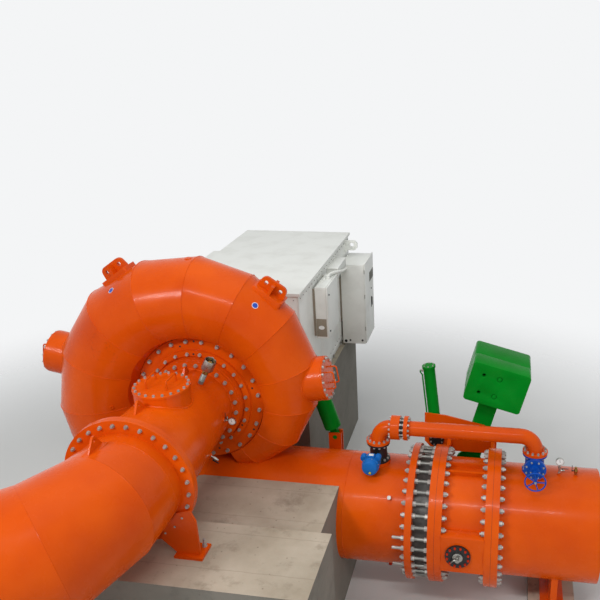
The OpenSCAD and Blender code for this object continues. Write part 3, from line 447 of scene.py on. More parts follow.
def rounded(width, height, radius, count=6):
    """Outline of a rectangle about the origin with round corners."""
    points = []
    for corner, (sx, sy) in enumerate(((1, 1), (-1, 1), (-1, -1), (1, -1))):
        for i in range(count + 1):
            turn = pi / 2 * (corner + i / count)
            points.append((sx * (width / 2 - radius) + radius * cos(turn),
                           sy * (height / 2 - radius) + radius * sin(turn)))
    return points


def loft(rings, closed_ends=True, hard=radians(5.5)):
    """Skin over rings of points of the same count."""
    form = bmesh.new()
    rows = [[form.verts.new(point) for point in ring] for ring in rings]
    count = len(rows[0])
    for low_row, high_row in zip(rows, rows[1:]):
        for i in range(count):
            form.faces.new((low_row[i], low_row[(i + 1) % count], high_row[(i + 1) % count], high_row[i]))
    if closed_ends:
        form.faces.new(rows[0])
        form.faces.new(rows[-1])
    bmesh.ops.remove_doubles(form, verts=form.verts, dist=1e-6)
    bmesh.ops.dissolve_degenerate(form, edges=form.edges, dist=1e-6)
    return place_mesh(form, hard=hard)


def join(meshes):
    """One mesh of several, with their hard edges, and all faces on one material."""
    form = bmesh.new()
    for mesh in meshes:
        form.from_mesh(mesh)
        bpy.data.meshes.remove(mesh)
    for face in form.faces:
        face.material_index = 0
    joined = bpy.data.meshes.new("part")
    form.to_mesh(joined)
    form.free()
    return joined


def piece(name, meshes, material, body="plant"):
    """One finished piece of one material, at the origin, riding its body, in its material's slot."""
    mesh = join(meshes if isinstance(meshes, list) else [meshes])
    mesh.name = name
    mesh.materials.append(material)
    made = bpy.data.objects.new(name, mesh)
    bpy.context.scene.collection.objects.link(made)
    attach(made, body)
    return made


# Spiral case: the mitred shell of its solid, by the same law, with finer sections
CASE_SEAMS = [0.0] + [12.0 + 24.0 * k for k in range(14)] + [336.0]
CASE_SIDES = 96
STAY_HALF_W = 0.310
STAY_R, RECESS_R, RECESS_SLOPE, SEAT_Y = 0.800, 0.850, 0.3214, 0.249
PIPE_START_X = 1.0
MITRE = cos(radians(12))


def case_section(angle):
    """Radius of the case's round section at a flow angle."""
    return min(LINE_R, 0.803 + (0.283 - 0.803) * angle / 360)


def case_reach(angle):
    """Distance of the section's centre from the shaft."""
    drop = LINE_DROP - STAY_R - sqrt(LINE_R ** 2 - STAY_HALF_W ** 2)
    half_width = sqrt(max(case_section(angle) ** 2 - STAY_HALF_W ** 2, 1e-6))
    return STAY_R + half_width + max(0, 1 - angle / 68) * drop


def seam_point(angle, phi):
    """Distance from the shaft and place along it of a point on a welded seam."""
    radius = case_section(angle) - (0.002 if angle == 0 else 0)
    reach = radius if angle in (0.0, 336.0) else radius / MITRE
    return case_reach(angle) + reach * cos(phi), radius * sin(phi)


def shell_point(angle, phi):
    """The same between two seams, where each strake of the shell is straight."""
    if angle in CASE_SEAMS:
        return seam_point(angle, phi)
    after = next(i for i, seam in enumerate(CASE_SEAMS) if seam > angle)
    first, last = CASE_SEAMS[after - 1], CASE_SEAMS[after]
    (r0, y0), (r1, y1) = seam_point(first, phi), seam_point(last, phi)
    near, far = sin(radians(angle - first)), sin(radians(last - angle))
    share = r0 * near / (r0 * near + r1 * far)
    return r0 * r1 * sin(radians(last - first)) / (r0 * near + r1 * far), y0 + share * (y1 - y0)


def shell_end(angle):
    """Half the turn that the shell's section spans before it meets the recess of the head cover."""
    def inside(phi):
        radius, y = shell_point(angle, phi)
        return radius < RECESS_R + max(0.0, abs(y) - STAY_HALF_W) * RECESS_SLOPE
    turn = next((radians(d) for d in range(90, 181) if inside(radians(d))), None)
    if turn is None:
        return pi
    low_turn, high_turn = turn - radians(1), turn
    for _ in range(24):
        middle = (low_turn + high_turn) / 2
        low_turn, high_turn = (low_turn, middle) if inside(middle) else (middle, high_turn)
    return low_turn


def round_shaft(angle, radius, y):
    """Point at a flow angle round the shaft."""
    turn = radians(angle)
    return Vector((-radius * sin(turn), y, SHAFT_H - radius * cos(turn)))


def case_ring(angle):
    """Points of the shell's outline at a flow angle, down to the recess of the head cover."""
    end = shell_end(angle)
    points = [shell_point(angle, end * (2 * i / CASE_SIDES - 1)) for i in range(CASE_SIDES + 1)]
    radius, y = points[-1]
    inner = [(min(radius, r), min(y, v))
             for r, v in ((RECESS_R, STAY_HALF_W), (RECESS_R, SEAT_Y), (STAY_R, SEAT_Y))]
    if end == pi:
        inner = [(radius, y)] * 3
    points += inner + [(r, -v) for r, v in reversed(inner)]
    return [round_shaft(angle, r, v) for r, v in points]


case_angles = []
for first_seam, last_seam in zip(CASE_SEAMS, CASE_SEAMS[1:]):
    steps = round((last_seam - first_seam) / 4)
    case_angles += [first_seam + (last_seam - first_seam) * k / steps for k in range(steps)]
case_angles.append(336.0)
shell = loft([case_ring(angle) for angle in case_angles])


def on_case(angle, out):
    """Place on the outside of the case at a flow angle, with local Z outwards and local X along the flow."""
    spot = round_shaft(angle, case_reach(angle) + case_section(angle) + out, 0)
    turn = radians(angle)
    return facing(spot, (-sin(turn), 0, -cos(turn)), (-cos(turn), 0, sin(turn)))


HATCH_R = 0.285
HATCH_T = 0.018
HATCHES = {"left": (100.9, 0.173), "right": (261.3, 0.118)}
LUG_ANGLES = {"left": 145.5, "right": 214.5}
case_parts = [shell, disc(0.862, 0.5, facing((0, 0.25, SHAFT_H), -Y), 96),
              disc(LINE_R, PIPE_START_X - 0.003, facing((0.003, 0, LINE_Z), X, Z), 128)]
for hatch_angle, neck in HATCHES.values():
    case_parts.append(lathe([(0, -0.3), (HATCH_R, -0.3), (HATCH_R, neck - 0.003), (HATCH_R - 0.003, neck),
                             (0, neck)],
                            on_case(hatch_angle, 0), 96))
for lug_angle in LUG_ANGLES.values():
    case_parts.append(plate([rounded(0.420, 0.280, 0.035)], -0.16, 0.012, on_case(lug_angle, 0), 0.003))
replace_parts(piece("spiral_case_shell", case_parts, CASE_ORANGE), "scroll_case")


def bar_handle(length, height, radius, matrix, bend=0.028):
    """Round bar bent twice, its feet on a cover, its length along local X."""
    line = [(-length / 2, -0.003)]
    for corner_x, first in ((-length / 2 + bend, pi), (length / 2 - bend, pi / 2)):
        for k in range(6):
            turn = first - pi / 2 * k / 5
            line.append((corner_x + bend * cos(turn), height - bend + bend * sin(turn)))
    line.append((length / 2, -0.003))
    return tube([matrix @ Vector((x, 0, z)) for x, z in line], radius, sides=12)


for side, (hatch_angle, neck) in HATCHES.items():
    cover_place = on_case(hatch_angle, neck + 0.0003)
    hatch_parts = [disc(HATCH_R - 0.005, HATCH_T, cover_place, 96, 0.002)]
    for side_way in (-1, 1):
        handle_place = moved(cover_place, 0, side_way * 0.092, HATCH_T)
        hatch_parts.append(bar_handle(0.226, 0.108, 0.0095, handle_place))
    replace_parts(piece("hatch_cover_" + side, hatch_parts, ORANGE), "case_hatch_" + side)

# Draft elbow: mitred bends between round flanges, the far one drilled for its bolts
FALL = radians(16)
BEND_R = 1.2
BEND_WAY = Vector((-cos(FALL), 0, -sin(FALL)))
BEND_START = Vector((0, ELBOW_Y - DRAFT_FLANGE_T - 0.160, SHAFT_H))
BEND_SIDE = BEND_WAY.cross(Y)
DRAFT_WALL = 0.014
ELBOW_R = 0.590
OUTLET_R = 0.745
BEND_ANGLES = (0, 15, 45, 75, 90)


def bend_centre(angle):
    """Centre of the elbow's section at an angle of its bend."""
    turn = radians(angle)
    return BEND_START - Y * sin(turn) * BEND_R + BEND_WAY * (1 - cos(turn)) * BEND_R


def bend_ring(angle, cut, centre=None, radius=None):
    """Points of the elbow's section on a seam, less a cut."""
    turn = radians(angle)
    radial = -BEND_WAY * cos(turn) - Y * sin(turn)
    radius = (radius or ELBOW_R + (OUTLET_R - ELBOW_R) * angle / 90) - cut
    reach = radius if angle in (0, 90) else radius / cos(radians(15))
    centre = centre or bend_centre(angle)
    return [centre + radial * reach * cos(a) + BEND_SIDE * radius * sin(a)
            for a in (tau * i / CASE_SIDES for i in range(CASE_SIDES))]


OUTLET_END = bend_centre(90) + BEND_WAY * 1.1


def elbow_rings(cut):
    """Sections of the elbow from flange to flange, less a cut."""
    return ([bend_ring(0, cut, Vector((0, ELBOW_Y, SHAFT_H)))] + [bend_ring(a, cut) for a in BEND_ANGLES]
            + [bend_ring(90, cut, OUTLET_END, OUTLET_R)])


inner_rings = elbow_rings(DRAFT_WALL)
tube_rings = elbow_rings(0) + inner_rings[::-1] + [elbow_rings(0)[0]]
elbow_tube = loft(tube_rings, closed_ends=False)
outlet_place = facing(OUTLET_END, BEND_WAY, Y)
outlet_holes = [circle(0.015, spot, 16) for spot in circle(0.793, count=24, first=0.5)]
flange_a = plate([circle(0.735, count=128), circle(ELBOW_R - DRAFT_WALL + 0.002, count=96)], 0,
                 DRAFT_FLANGE_T,
                 facing((0, ELBOW_Y, SHAFT_H), -Y), 0.002)
flange_b = plate([circle(OUTLET_R + 0.090, count=128), circle(OUTLET_R - DRAFT_WALL + 0.002,
                                                              count=96)] + outlet_holes,
                 -0.044, 0.006, outlet_place)


def eye_plate(length, height, hole, matrix):
    """Lifting eye with its foot at the origin of its place."""
    half, top = length / 2, height
    outline = [(-half, -0.025), (half, -0.025), (half, 0.012), (0.028, top - 0.012), (0.014, top),
               (-0.014, top),
               (-0.028, top - 0.012), (-half, 0.012)]
    return plate([outline, circle(hole, (0, top - 0.052), 24)], -0.012, 0.012, matrix, 0.0015)


EYE_SPOT = Vector((-0.100, ELBOW_Y - 0.380, SHAFT_H + 0.590))
elbow_eye = eye_plate(0.250, 0.150, 0.020, facing(EYE_SPOT, X, Y))
eye_pad = plate([rounded(0.130, 0.300, 0.015)], -0.040, 0.008, facing(EYE_SPOT), 0.003)
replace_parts(piece("draft_elbow_shell", [elbow_tube, flange_a, flange_b, elbow_eye, eye_pad], ORANGE),
            "draft_elbow")


# Weld beads: low round beads that follow each seam, a little sunk
BEAD_R = 0.0052


def bead(points, closed=False, radius=BEAD_R):
    """Low weld bead along points."""
    return tube(points, radius, closed, 6)


case_beads = []
for seam in CASE_SEAMS[1:-1]:
    end = shell_end(seam)
    seam_line = [round_shaft(seam, *seam_point(seam, end * (k / 40 - 1))) for k in range(81)]
    for point in seam_line:
        point.z = min(point.z, LOADED_BOX[1][2] - BEAD_R)
    case_beads.append(bead(seam_line))
surface = bmesh.new()
surface.from_mesh(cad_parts["scroll_case"].data)
case_tree = BVHTree.FromBMesh(surface)
surface.free()


def bead_on_case(place, outline, radius):
    """Weld bead where an outline, looked at from its place, meets the case."""
    way = -(place.to_3x3() @ Z)
    met = [case_tree.ray_cast(place @ Vector((x, y, 0)), way, 2.0)[0] for x, y in outline]
    return bead([spot for spot in met if spot is not None], True, radius)


for hatch_angle, neck in HATCHES.values():
    case_beads.append(bead_on_case(on_case(hatch_angle, neck - 0.034), circle(HATCH_R + 0.003, count=96),
                                   0.009))
for lug_angle in LUG_ANGLES.values():
    case_beads.append(bead_on_case(on_case(lug_angle, 0.010), rounded(0.424, 0.284, 0.037, 8), 0.008))
piece("case_weld_beads", case_beads, ORANGE)

elbow_beads = [bead(bend_ring(a, 0.003), True) for a in BEND_ANGLES]
CONE_NEAR_R, CONE_START, CONE_SLANT_L = 0.492, 0.170, 1.675
cone_slope = (ELBOW_R - CONE_NEAR_R) / CONE_SLANT_L


def cone_radius(distance):
    """Radius of the cone at a distance from the head cover."""
    return CONE_NEAR_R + cone_slope * (distance - CONE_START)


MANHOLE_R, MANHOLE_D, MANHOLE_TOP = 0.322, 0.960, SHAFT_H + 0.636
MANHOLE_T = 0.030
manhole_place = facing((0, COVER_Y - MANHOLE_D, MANHOLE_TOP), Z, Y)
manhole_parts = [disc(MANHOLE_R + 0.008, MANHOLE_T, manhole_place, 96, 0.003)]
for across in (-0.125, 0.125):
    manhole_parts.append(bar_handle(0.250, 0.105, 0.010, moved(manhole_place, 0, across, MANHOLE_T)))
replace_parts(piece("manhole_cover", manhole_parts, ORANGE), "draft_manhole_cover")
neck_line = []
for x, y in circle(MANHOLE_R + 0.003, count=96):
    height = sqrt(cone_radius(MANHOLE_D - y) ** 2 - x ** 2)
    neck_line.append(Vector((x, COVER_Y - MANHOLE_D + y, SHAFT_H + height)))
elbow_beads.append(bead(neck_line, True, 0.011))
for distance, radius in ((0.170, 0.494), (1.845, 0.592)):
    elbow_beads.append(bead([(x, COVER_Y - distance, SHAFT_H + z) for x, z in circle(radius, count=96)],
                            True, 0.010))
piece("draft_tube_weld_beads", elbow_beads, ORANGE)
line_beads = [bead([(x, y, LINE_Z + z) for y, z in circle(LINE_R, count=96)], True, radius)
              for x, radius in ((1.9, BEAD_R), (2.716, 0.010), (VALVE_X1 + FLANGE_T, 0.010))]
line_beads.append(bead([(x, LINE_R * sin(2.2), LINE_Z + LINE_R * cos(2.2)) for x in (1.9, 2.3, 2.716)]))
piece("inlet_line_weld_beads", line_beads, ORANGE)

# Fasteners: one Geometry Nodes tree for circles of bolts, and one for rows
def bolt_tree(name, in_rows):
    """Nodes that set hexagon heads or nuts, with washers and stud ends, round a circle or along a row."""
    tree = bpy.data.node_groups.new(name, "GeometryNodeTree")
    face = tree.interface
    face.new_socket("Geometry", in_out="OUTPUT", socket_type="NodeSocketGeometry")
    sizes = ["Reach", "Phase", "Head Radius", "Head Height", "Washer Radius", "Washer Height", "Stud Radius",
             "Stud Height"]
    face.new_socket("Count", in_out="INPUT", socket_type="NodeSocketInt")
    for size in sizes:
        face.new_socket(size, in_out="INPUT", socket_type="NodeSocketFloat")
    face.new_socket("Material", in_out="INPUT", socket_type="NodeSocketMaterial")
    given = add(tree, "NodeGroupInput").outputs
    if in_rows:
        ends = add(tree, "ShaderNodeCombineXYZ", {"X": given["Reach"]})
        spots = add(tree, "GeometryNodeMeshLine", {"Count": given["Count"], "Offset": ends},
                    mode="END_POINTS")
    else:
        ring = add(tree, "GeometryNodeMeshCircle", {"Vertices": given["Count"], "Radius": given["Reach"]})
        turn = add(tree, "ShaderNodeCombineXYZ", {"Z": given["Phase"]})
        spots = add(tree, "GeometryNodeTransform", {"Geometry": ring, "Rotation": turn})
    bolt = add(tree, "GeometryNodeJoinGeometry")
    for name, sides in (("Washer", 20), ("Head", 6), ("Stud", 12)):
        height = given[name + " Height"]
        post = add(tree, "GeometryNodeMeshCylinder", {"Vertices": sides, "Radius": given[name + " Radius"],
                                                      "Depth": height})
        lift = add(tree, "ShaderNodeMath", {0: height, 1: 0.5}, operation="MULTIPLY")
        if name != "Washer":
            lift = add(tree, "ShaderNodeMath", {0: lift, 1: given["Washer Height"]}, operation="ADD")
        up = add(tree, "ShaderNodeCombineXYZ", {"Z": lift})
        raised = add(tree, "GeometryNodeTransform", {"Geometry": post, "Translation": up})
        tree.links.new(raised.outputs[0], bolt.inputs[0])
    twist = add(tree, "FunctionNodeRandomValue", {2: 0.0, 3: pi / 3, "Seed": 7}, data_type="FLOAT")
    spin = add(tree, "ShaderNodeCombineXYZ", {"Z": twist})
    placed = add(tree, "GeometryNodeInstanceOnPoints", {"Points": spots, "Instance": bolt, "Rotation": spin})
    real = add(tree, "GeometryNodeRealizeInstances", {"Geometry": placed})
    dressed = add(tree, "GeometryNodeSetMaterial", {"Geometry": real, "Material": given["Material"]})
    add(tree, "NodeGroupOutput", {"Geometry": dressed})
    return tree


RING = bolt_tree("bolt_ring", False)
ROW = bolt_tree("bolt_row", True)


def bolts(tree, matrix, count, reach, across_flats_mm, phase=0.0, stud_mm=0.0, material=ZINC, washer=True):
    """Mesh of a ring or row of hexagon heads whose sizes follow the width across flats."""
    flats = across_flats_mm * MM
    values = {"Count": count, "Reach": reach, "Phase": phase, "Head Radius": flats / sqrt(3),
              "Head Height": flats * 0.62, "Washer Radius": flats * (0.62 if washer else 0.3),
              "Washer Height": flats * 0.10, "Stud Radius": flats * 0.32,
              "Stud Height": flats * 0.62 + stud_mm * MM + 0.002, "Material": material}
    holder = bpy.data.objects.new("holder", bpy.data.meshes.new("holder"))
    bpy.context.scene.collection.objects.link(holder)
    nodes = holder.modifiers.new("bolts", "NODES")
    nodes.node_group = tree
    for socket in tree.interface.items_tree:
        if socket.item_type == "SOCKET" and socket.in_out == "INPUT":
            nodes[socket.identifier] = values[socket.name]
    ready = holder.evaluated_get(bpy.context.evaluated_depsgraph_get())
    mesh = bpy.data.meshes.new_from_object(ready)
    bpy.data.objects.remove(holder)
    mesh.transform(matrix)
    return mesh


def bolt(matrix, across_flats_mm, stud_mm=0.0, washer=True):
    """One hexagon head at a place."""
    return bolts(ROW, matrix, 1, 0.0, across_flats_mm, 0.0, stud_mm, ZINC, washer)


def ring_on_shaft(y, count, radius, flats, outward=-1, phase=0.5, stud=0.0):
    """Bolts round the turbine shaft on a face that looks along Y."""
    return bolts(RING, facing((0, y, SHAFT_H), Y * outward, X), count, radius, flats,
                 phase * tau / count, stud)


def ring_on_line(x, outward, flats=55, stud=16):
    """Nuts round the inlet line on a face that looks along X."""
    return bolts(RING, facing((x, 0, LINE_Z), X * outward, Z), LINE_BOLTS, LINE_PCD_R, flats, 0.0, stud)


def flange_bolts(name, meshes):
    """Zinc-plated fasteners of a flange."""
    piece(name, meshes, ZINC)


flange_bolts("head_cover_bolts", [
    ring_on_shaft(COVER_Y, 24, 0.800, 41), ring_on_shaft(MID_RING_Y, 24, 0.645, 36),
    ring_on_shaft(CONE_FLANGE_Y, 24, 0.550, 41, stud=8)])
flange_bolts("rear_cover_bolts", [
    ring_on_shaft(-COVER_Y, 24, 0.815, 41, 1), ring_on_shaft(0.470, 16, 0.360, 46, 1)])
flange_bolts("elbow_flange_bolts", [
    ring_on_shaft(ELBOW_Y - DRAFT_FLANGE_T, 28, 0.677, 36, -1, stud=10),
    ring_on_shaft(ELBOW_Y + DRAFT_FLANGE_T, 28, 0.677, 36, 1)])
flange_bolts("inlet_line_nuts", [
    ring_on_line(VALVE_X0 - FLANGE_T - JOINT_GAP - FLANGE_T, -1),
    ring_on_line(VALVE_X0 - FLANGE_T - JOINT_GAP, 1, stud=0),
    ring_on_line(VALVE_X0 - FLANGE_T, -1, stud=0),
    ring_on_line(VALVE_X0 + FLANGE_T, 1),
    ring_on_line(VALVE_X1 - FLANGE_T, -1),
    ring_on_line(VALVE_X1 + FLANGE_T, 1)])
# Three studs of the near side stand further out of their nuts
LONG_STUDS = (25, 27, 28)
STUD_R, LONG_END, NUT_DEPTH = 0.019, 0.115, 0.040
stud_face_x = VALVE_X0 - FLANGE_T - JOINT_GAP - FLANGE_T
long_studs = []
for k in LONG_STUDS:
    turn = tau * k / LINE_BOLTS
    spot = Vector((stud_face_x - NUT_DEPTH, LINE_PCD_R * sin(turn), LINE_Z + LINE_PCD_R * cos(turn)))
    long_studs.append(disc(STUD_R, LONG_END, facing(spot, -X, Z), 16, 0.004))
flange_bolts("inlet_line_long_studs", long_studs)
flange_bolts("draft_manhole_bolts", [
    bolts(RING, facing((0, COVER_Y - MANHOLE_D, MANHOLE_TOP + MANHOLE_T)), 20, 0.302, 27, pi / 20)])
for side, (hatch_angle, neck) in HATCHES.items():
    flange_bolts("case_hatch_bolts_" + side, [bolts(RING, on_case(hatch_angle, neck + HATCH_T), 16, 0.256,
                                                    30,
                                                    pi / 16)])

# Bypass line: bolts of its vertical flanges, of the drum joint and the tie rods over the seal
for side, bypass_x in zip(("left", "right"), BYPASS_XS):
    flange_top = BYPASS_Z - BYPASS_BEND
    flange_bolts("bypass_bolts_" + side, [
        bolts(RING, facing((bypass_x, 0, z), way), 12, BYPASS_PCD_R, 27, pi / 12, stud)
        for z, way, stud in ((flange_top, Z, 8), (flange_top - BYPASS_FLANGE_T - 0.028, -Z, 0),
                             (GATE_Z + 0.028, Z, 0))])
DRUM_X0 = BYPASS_XS[0] + BYPASS_BEND + 0.020
DRUM_X1 = DRUM_X0 + 0.087
SEAL_X1 = DRUM_X1 + 0.053
tie_rods = [tube([(DRUM_X1 - 0.01, y, BYPASS_Z + z), (SEAL_X1 + 0.01, y, BYPASS_Z + z)], 0.008)
            for z, y in circle(BYPASS_PCD_R, count=12, first=0.5)]
flange_bolts("bypass_joint_bolts", tie_rods + [
    bolts(RING, facing((x, 0, BYPASS_Z), X * way, Z), 12, BYPASS_PCD_R, 27, pi / 12, 4)
    for x, way in ((DRUM_X0 - 0.030, -1), (DRUM_X1, 1), (SEAL_X1, -1), (SEAL_X1 + 0.050, 1))])

# Counterweight: two flame-cut steel slabs with soft corners, two lifting holes and two filled plugs
LEVER_ANGLE = radians(75)
WEIGHT_ARM, WEIGHT_H, WEIGHT_W, WEIGHT_L = 1.460, 0.590, 0.750, 0.800
LEVER_MID_Y = 1.280
ARM_WAY = Vector((cos(LEVER_ANGLE), 0, sin(LEVER_ANGLE)))
VALVE_CENTRE = Vector((VALVE_X, 0, LINE_Z))
WEIGHT_FACE_Y = LEVER_MID_Y - WEIGHT_W / 2
SLAB_T = 0.310
weight_place = facing(VALVE_CENTRE + Y * WEIGHT_FACE_Y + ARM_WAY * WEIGHT_ARM, -Y, ARM_WAY)
HOLE_R, HOLE_DEPTH, PLUG_R = 0.026, 0.090, 0.029
ACROSS_HOLES = 0.218
weight_spots = [(along, across) for along in (-0.135, 0.135) for across in (ACROSS_HOLES, 0.0)]
slab_outline = rounded(WEIGHT_H, WEIGHT_L, 0.045, 8)
weight = [plate([slab_outline] + [circle(HOLE_R if across else PLUG_R + 0.009, (along, across), 24)
                                  for along, across in weight_spots], -SLAB_T, 0.0, weight_place, 0.004),
          plate([slab_outline], -WEIGHT_W, -SLAB_T, weight_place, 0.004)]


def on_weight(along, across, out=0.0):
    """Place on the counterweight's front face."""
    return moved(weight_place, along, across, out)


fillers = []
for along, across in weight_spots:
    depth = HOLE_DEPTH if across else 0.014
    fillers.append(disc(PLUG_R + 0.014, SLAB_T - depth + 0.010, on_weight(along, across, -SLAB_T - 0.010),
                        24))
    if not across:
        fillers.append(disc(PLUG_R, 0.022, on_weight(along, across, -0.020), 24, 0.003))
weight_piece = piece("counterweight_block", weight + fillers, GREEN, "valve_rotor")
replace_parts(weight_piece, "counterweight")

# Bypass actuator: die-cast housing in blue polyester with its cover screws, motor pots and override knob
MOTOR_X, MOTOR_Z = BYPASS_XS[0] - 0.055, (GATE_Z + BYPASS_Z - BYPASS_BEND - BYPASS_FLANGE_T) / 2 - 0.065


def on_motor(dx, y, dz):
    """Place on the actuator, looking to the front."""
    return facing((MOTOR_X + dx, y, MOTOR_Z + dz), -Y)


motor_parts = [
    lathe([(0, 0), (0.108, 0), (0.112, 0.006), (0.112, 0.022), (0.104, 0.032), (0.100, 0.110),
           (0.104, 0.118),
           (0.112, 0.120), (0.112, 0.134), (0.104, 0.138), (0.102, 0.185), (0.094, 0.203), (0.080, 0.212),
           (0, 0.215)], on_motor(0, -0.170, 0), 64),
    lathe([(0, 0), (0.044, 0), (0.044, 0.062), (0.036, 0.078), (0, 0.080)], on_motor(-0.100, -0.170, 0.060),
          32),
    lathe([(0, 0), (0.039, 0), (0.039, 0.060), (0.032, 0.076), (0, 0.080)], on_motor(0.085, -0.170, 0.075),
          32),
    block((MOTOR_X - 0.045, -0.262, MOTOR_Z + 0.086), (MOTOR_X + 0.045, -0.182, MOTOR_Z + 0.118), 0.008)]
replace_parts(piece("actuator_housing", motor_parts, ACTUATOR_BLUE), "bypass_actuator")
piece("actuator_cover_screws", [bolts(RING, on_motor(0, -0.304, 0), 6, 0.108, 10, 0.3, washer=False),
                                bolts(RING, on_motor(0, -0.192, 0), 4, 0.106, 12, 0.6, washer=False)],
      ZINC)
piece("actuator_knob", lathe([(0, 0), (0.010, 0), (0.010, 0.006), (0.015, 0.008), (0.015, 0.018),
                              (0.011, 0.022),
                              (0, 0.023)], on_motor(0.008, -0.380, -0.048), 24), YELLOW)
piece("actuator_plate", block((MOTOR_X - 0.030, -0.245, MOTOR_Z + 0.117),
                              (MOTOR_X + 0.030, -0.200, MOTOR_Z + 0.1195),
                              0.001), STICKER_WHITE)

# Motor valve: wafer body between its flanges, with its neck
flange_base = GATE_Z
valve_top = BYPASS_Z - BYPASS_BEND - BYPASS_FLANGE_T
height = valve_top - flange_base
iron_parts = [
    lathe([(0, 0), (0.148, 0), (0.150, 0.002), (0.150, 0.026), (0.146, 0.028), (0.118, 0.036),
           (0.112, 0.060),
           (0.112, height - 0.060), (0.118, height - 0.036), (0.146, height - 0.028),
           (0.150, height - 0.026),
           (0.150, height - 0.002), (0.148, height), (0, height)],
          facing((BYPASS_XS[0], 0, flange_base)), 64),
    disc(0.044, 0.170, facing((MOTOR_X + 0.020, 0, MOTOR_Z), -Y), 32),
    disc(0.062, 0.014, facing((MOTOR_X + 0.020, -0.156, MOTOR_Z), -Y), 32, 0.002)]
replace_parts(piece("motor_valve_body", iron_parts, BLACK_IRON), "bypass_motor_valve")


def dial_case(centre, face_way, up, radius):
    """Case, face and marks of a pressure gauge: stainless, white and black."""
    place = facing(centre, face_way, up)
    metal = lathe([(0, -0.016), (radius * 0.90, -0.016), (radius * 0.96, -0.010), (radius * 0.96, 0.008),
                   (radius, 0.010), (radius, 0.018), (radius * 0.90, 0.019), (radius * 0.88, 0.014),
                   (0, 0.014)],
                  place, 48)
    face = disc(radius * 0.885, 0.002, moved(place, 0, 0, 0.0135), 48)
    marks = []
    for k in range(11):
        turn = Matrix.Rotation(radians(225 - 27 * k - 90), 4, "Z")
        marks.append(block((radius * 0.62, -0.0012, 0.0152), (radius * 0.80, 0.0012, 0.0162), 0,
                           place @ turn))
    marks.append(block((-radius * 0.15, -0.0015, 0.0162), (radius * 0.60, 0.0015, 0.0170), 0,
                       place @ Matrix.Rotation(radians(96), 4, "Z")))
    marks.append(disc(radius * 0.09, 0.003, moved(place, 0, 0, 0.0155), 16))
    return metal, face, marks


def lever_cock(spot, way, body_r, length, lever_way):
    """Small ball valve along a direction: threaded ends, body and its lever."""
    place = facing(spot, way, lever_way)
    body = lathe([(0, 0), (body_r * 0.55, 0), (body_r * 0.55, length * 0.20), (body_r * 0.85, length * 0.22),
                  (body_r * 0.85, length * 0.34), (body_r, length * 0.40), (body_r, length * 0.60),
                  (body_r * 0.85, length * 0.66), (body_r * 0.85, length * 0.80),
                  (body_r * 0.55, length * 0.82),
                  (body_r * 0.55, length), (0, length)], place, 24)
    lever = [block((body_r * 0.6, -0.006, length * 0.5 - 0.005),
                   (body_r * 1.9, 0.006, length * 0.5 + 0.005), 0.001,
                   place),
             block((body_r * 1.8, -0.008, length * 0.5 - 0.010),
                   (body_r * 2.1, 0.008, length * 0.5 + 0.075), 0.002,
                   place)]
    return body, lever


# Gauge and cock on the inlet line's upstream pipe
LINE_TOP = LINE_Z + LINE_R
BOSS_H = 0.014
gauge_x, cock_x = 4.580, 4.780
stem = lathe([(0, 0), (0.016, 0), (0.016, 0.018), (0.010, 0.022), (0.010, 0.075), (0.017, 0.078),
              (0.017, 0.100),
              (0.009, 0.104), (0.009, 0.130), (0, 0.130)], facing((gauge_x, 0, LINE_TOP + BOSS_H)), 24)
side_body, side_lever = lever_cock((gauge_x + 0.004, 0, LINE_TOP + BOSS_H + 0.045), X, 0.014, 0.062, Z)
gauge_case, gauge_face, gauge_marks = dial_case((gauge_x, 0, LINE_TOP + BOSS_H + 0.175), -Y, X, 0.052)
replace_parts(piece("line_gauge_case", [stem, side_body, gauge_case], STAINLESS), "line_gauge")
piece("line_gauge_face", gauge_face, DIAL)
cock_body, cock_lever = lever_cock((cock_x, 0, LINE_TOP + BOSS_H), Z, 0.024, 0.108, -X)
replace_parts(piece("line_cock_body", cock_body, BRASS), "line_cock")

# Gauge and drain cock on the draft cone
def on_cone(angle, distance, out=0.0):
    """Place on the cone at an angle from the top, with local Z outwards and local Y towards the turbine."""
    turn = radians(angle)
    way = Vector((sin(turn), 0, cos(turn)))
    return facing(Vector((0, COVER_Y - distance, SHAFT_H)) + way * (cone_radius(distance) + out), way,
                  Vector((cos(turn), 0, -sin(turn))))


cone_gauge_spot = on_cone(90, 0.510, BOSS_H).translation
cone_stem = lathe([(0, 0), (0.015, 0), (0.015, 0.016), (0.010, 0.018), (0.010, 0.090), (0, 0.090)],
                  facing(cone_gauge_spot, X, Z), 24)
cone_tee, cone_lever = lever_cock(cone_gauge_spot + X * 0.040, Z, 0.012, 0.060, -X)
cone_case, cone_face, cone_marks = dial_case(cone_gauge_spot + X * 0.100, -Y, X, 0.048)
drain_place = on_cone(120, 0.890, BOSS_H)
drain_way = drain_place.to_3x3() @ Z
drain_body, drain_lever = lever_cock(drain_place.translation, drain_way, 0.022, 0.100, -Y)
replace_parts(piece("cone_gauge_case", [cone_stem, cone_tee, cone_case], STAINLESS), "draft_gauge")
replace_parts(piece("drain_cock_body", drain_body, STAINLESS), "draft_cock")
piece("cone_gauge_face", cone_face, DIAL)
piece("gauge_marks_and_levers",
      gauge_marks + cone_marks + side_lever + cock_lever + cone_lever + drain_lever,
      BLACK_IRON)
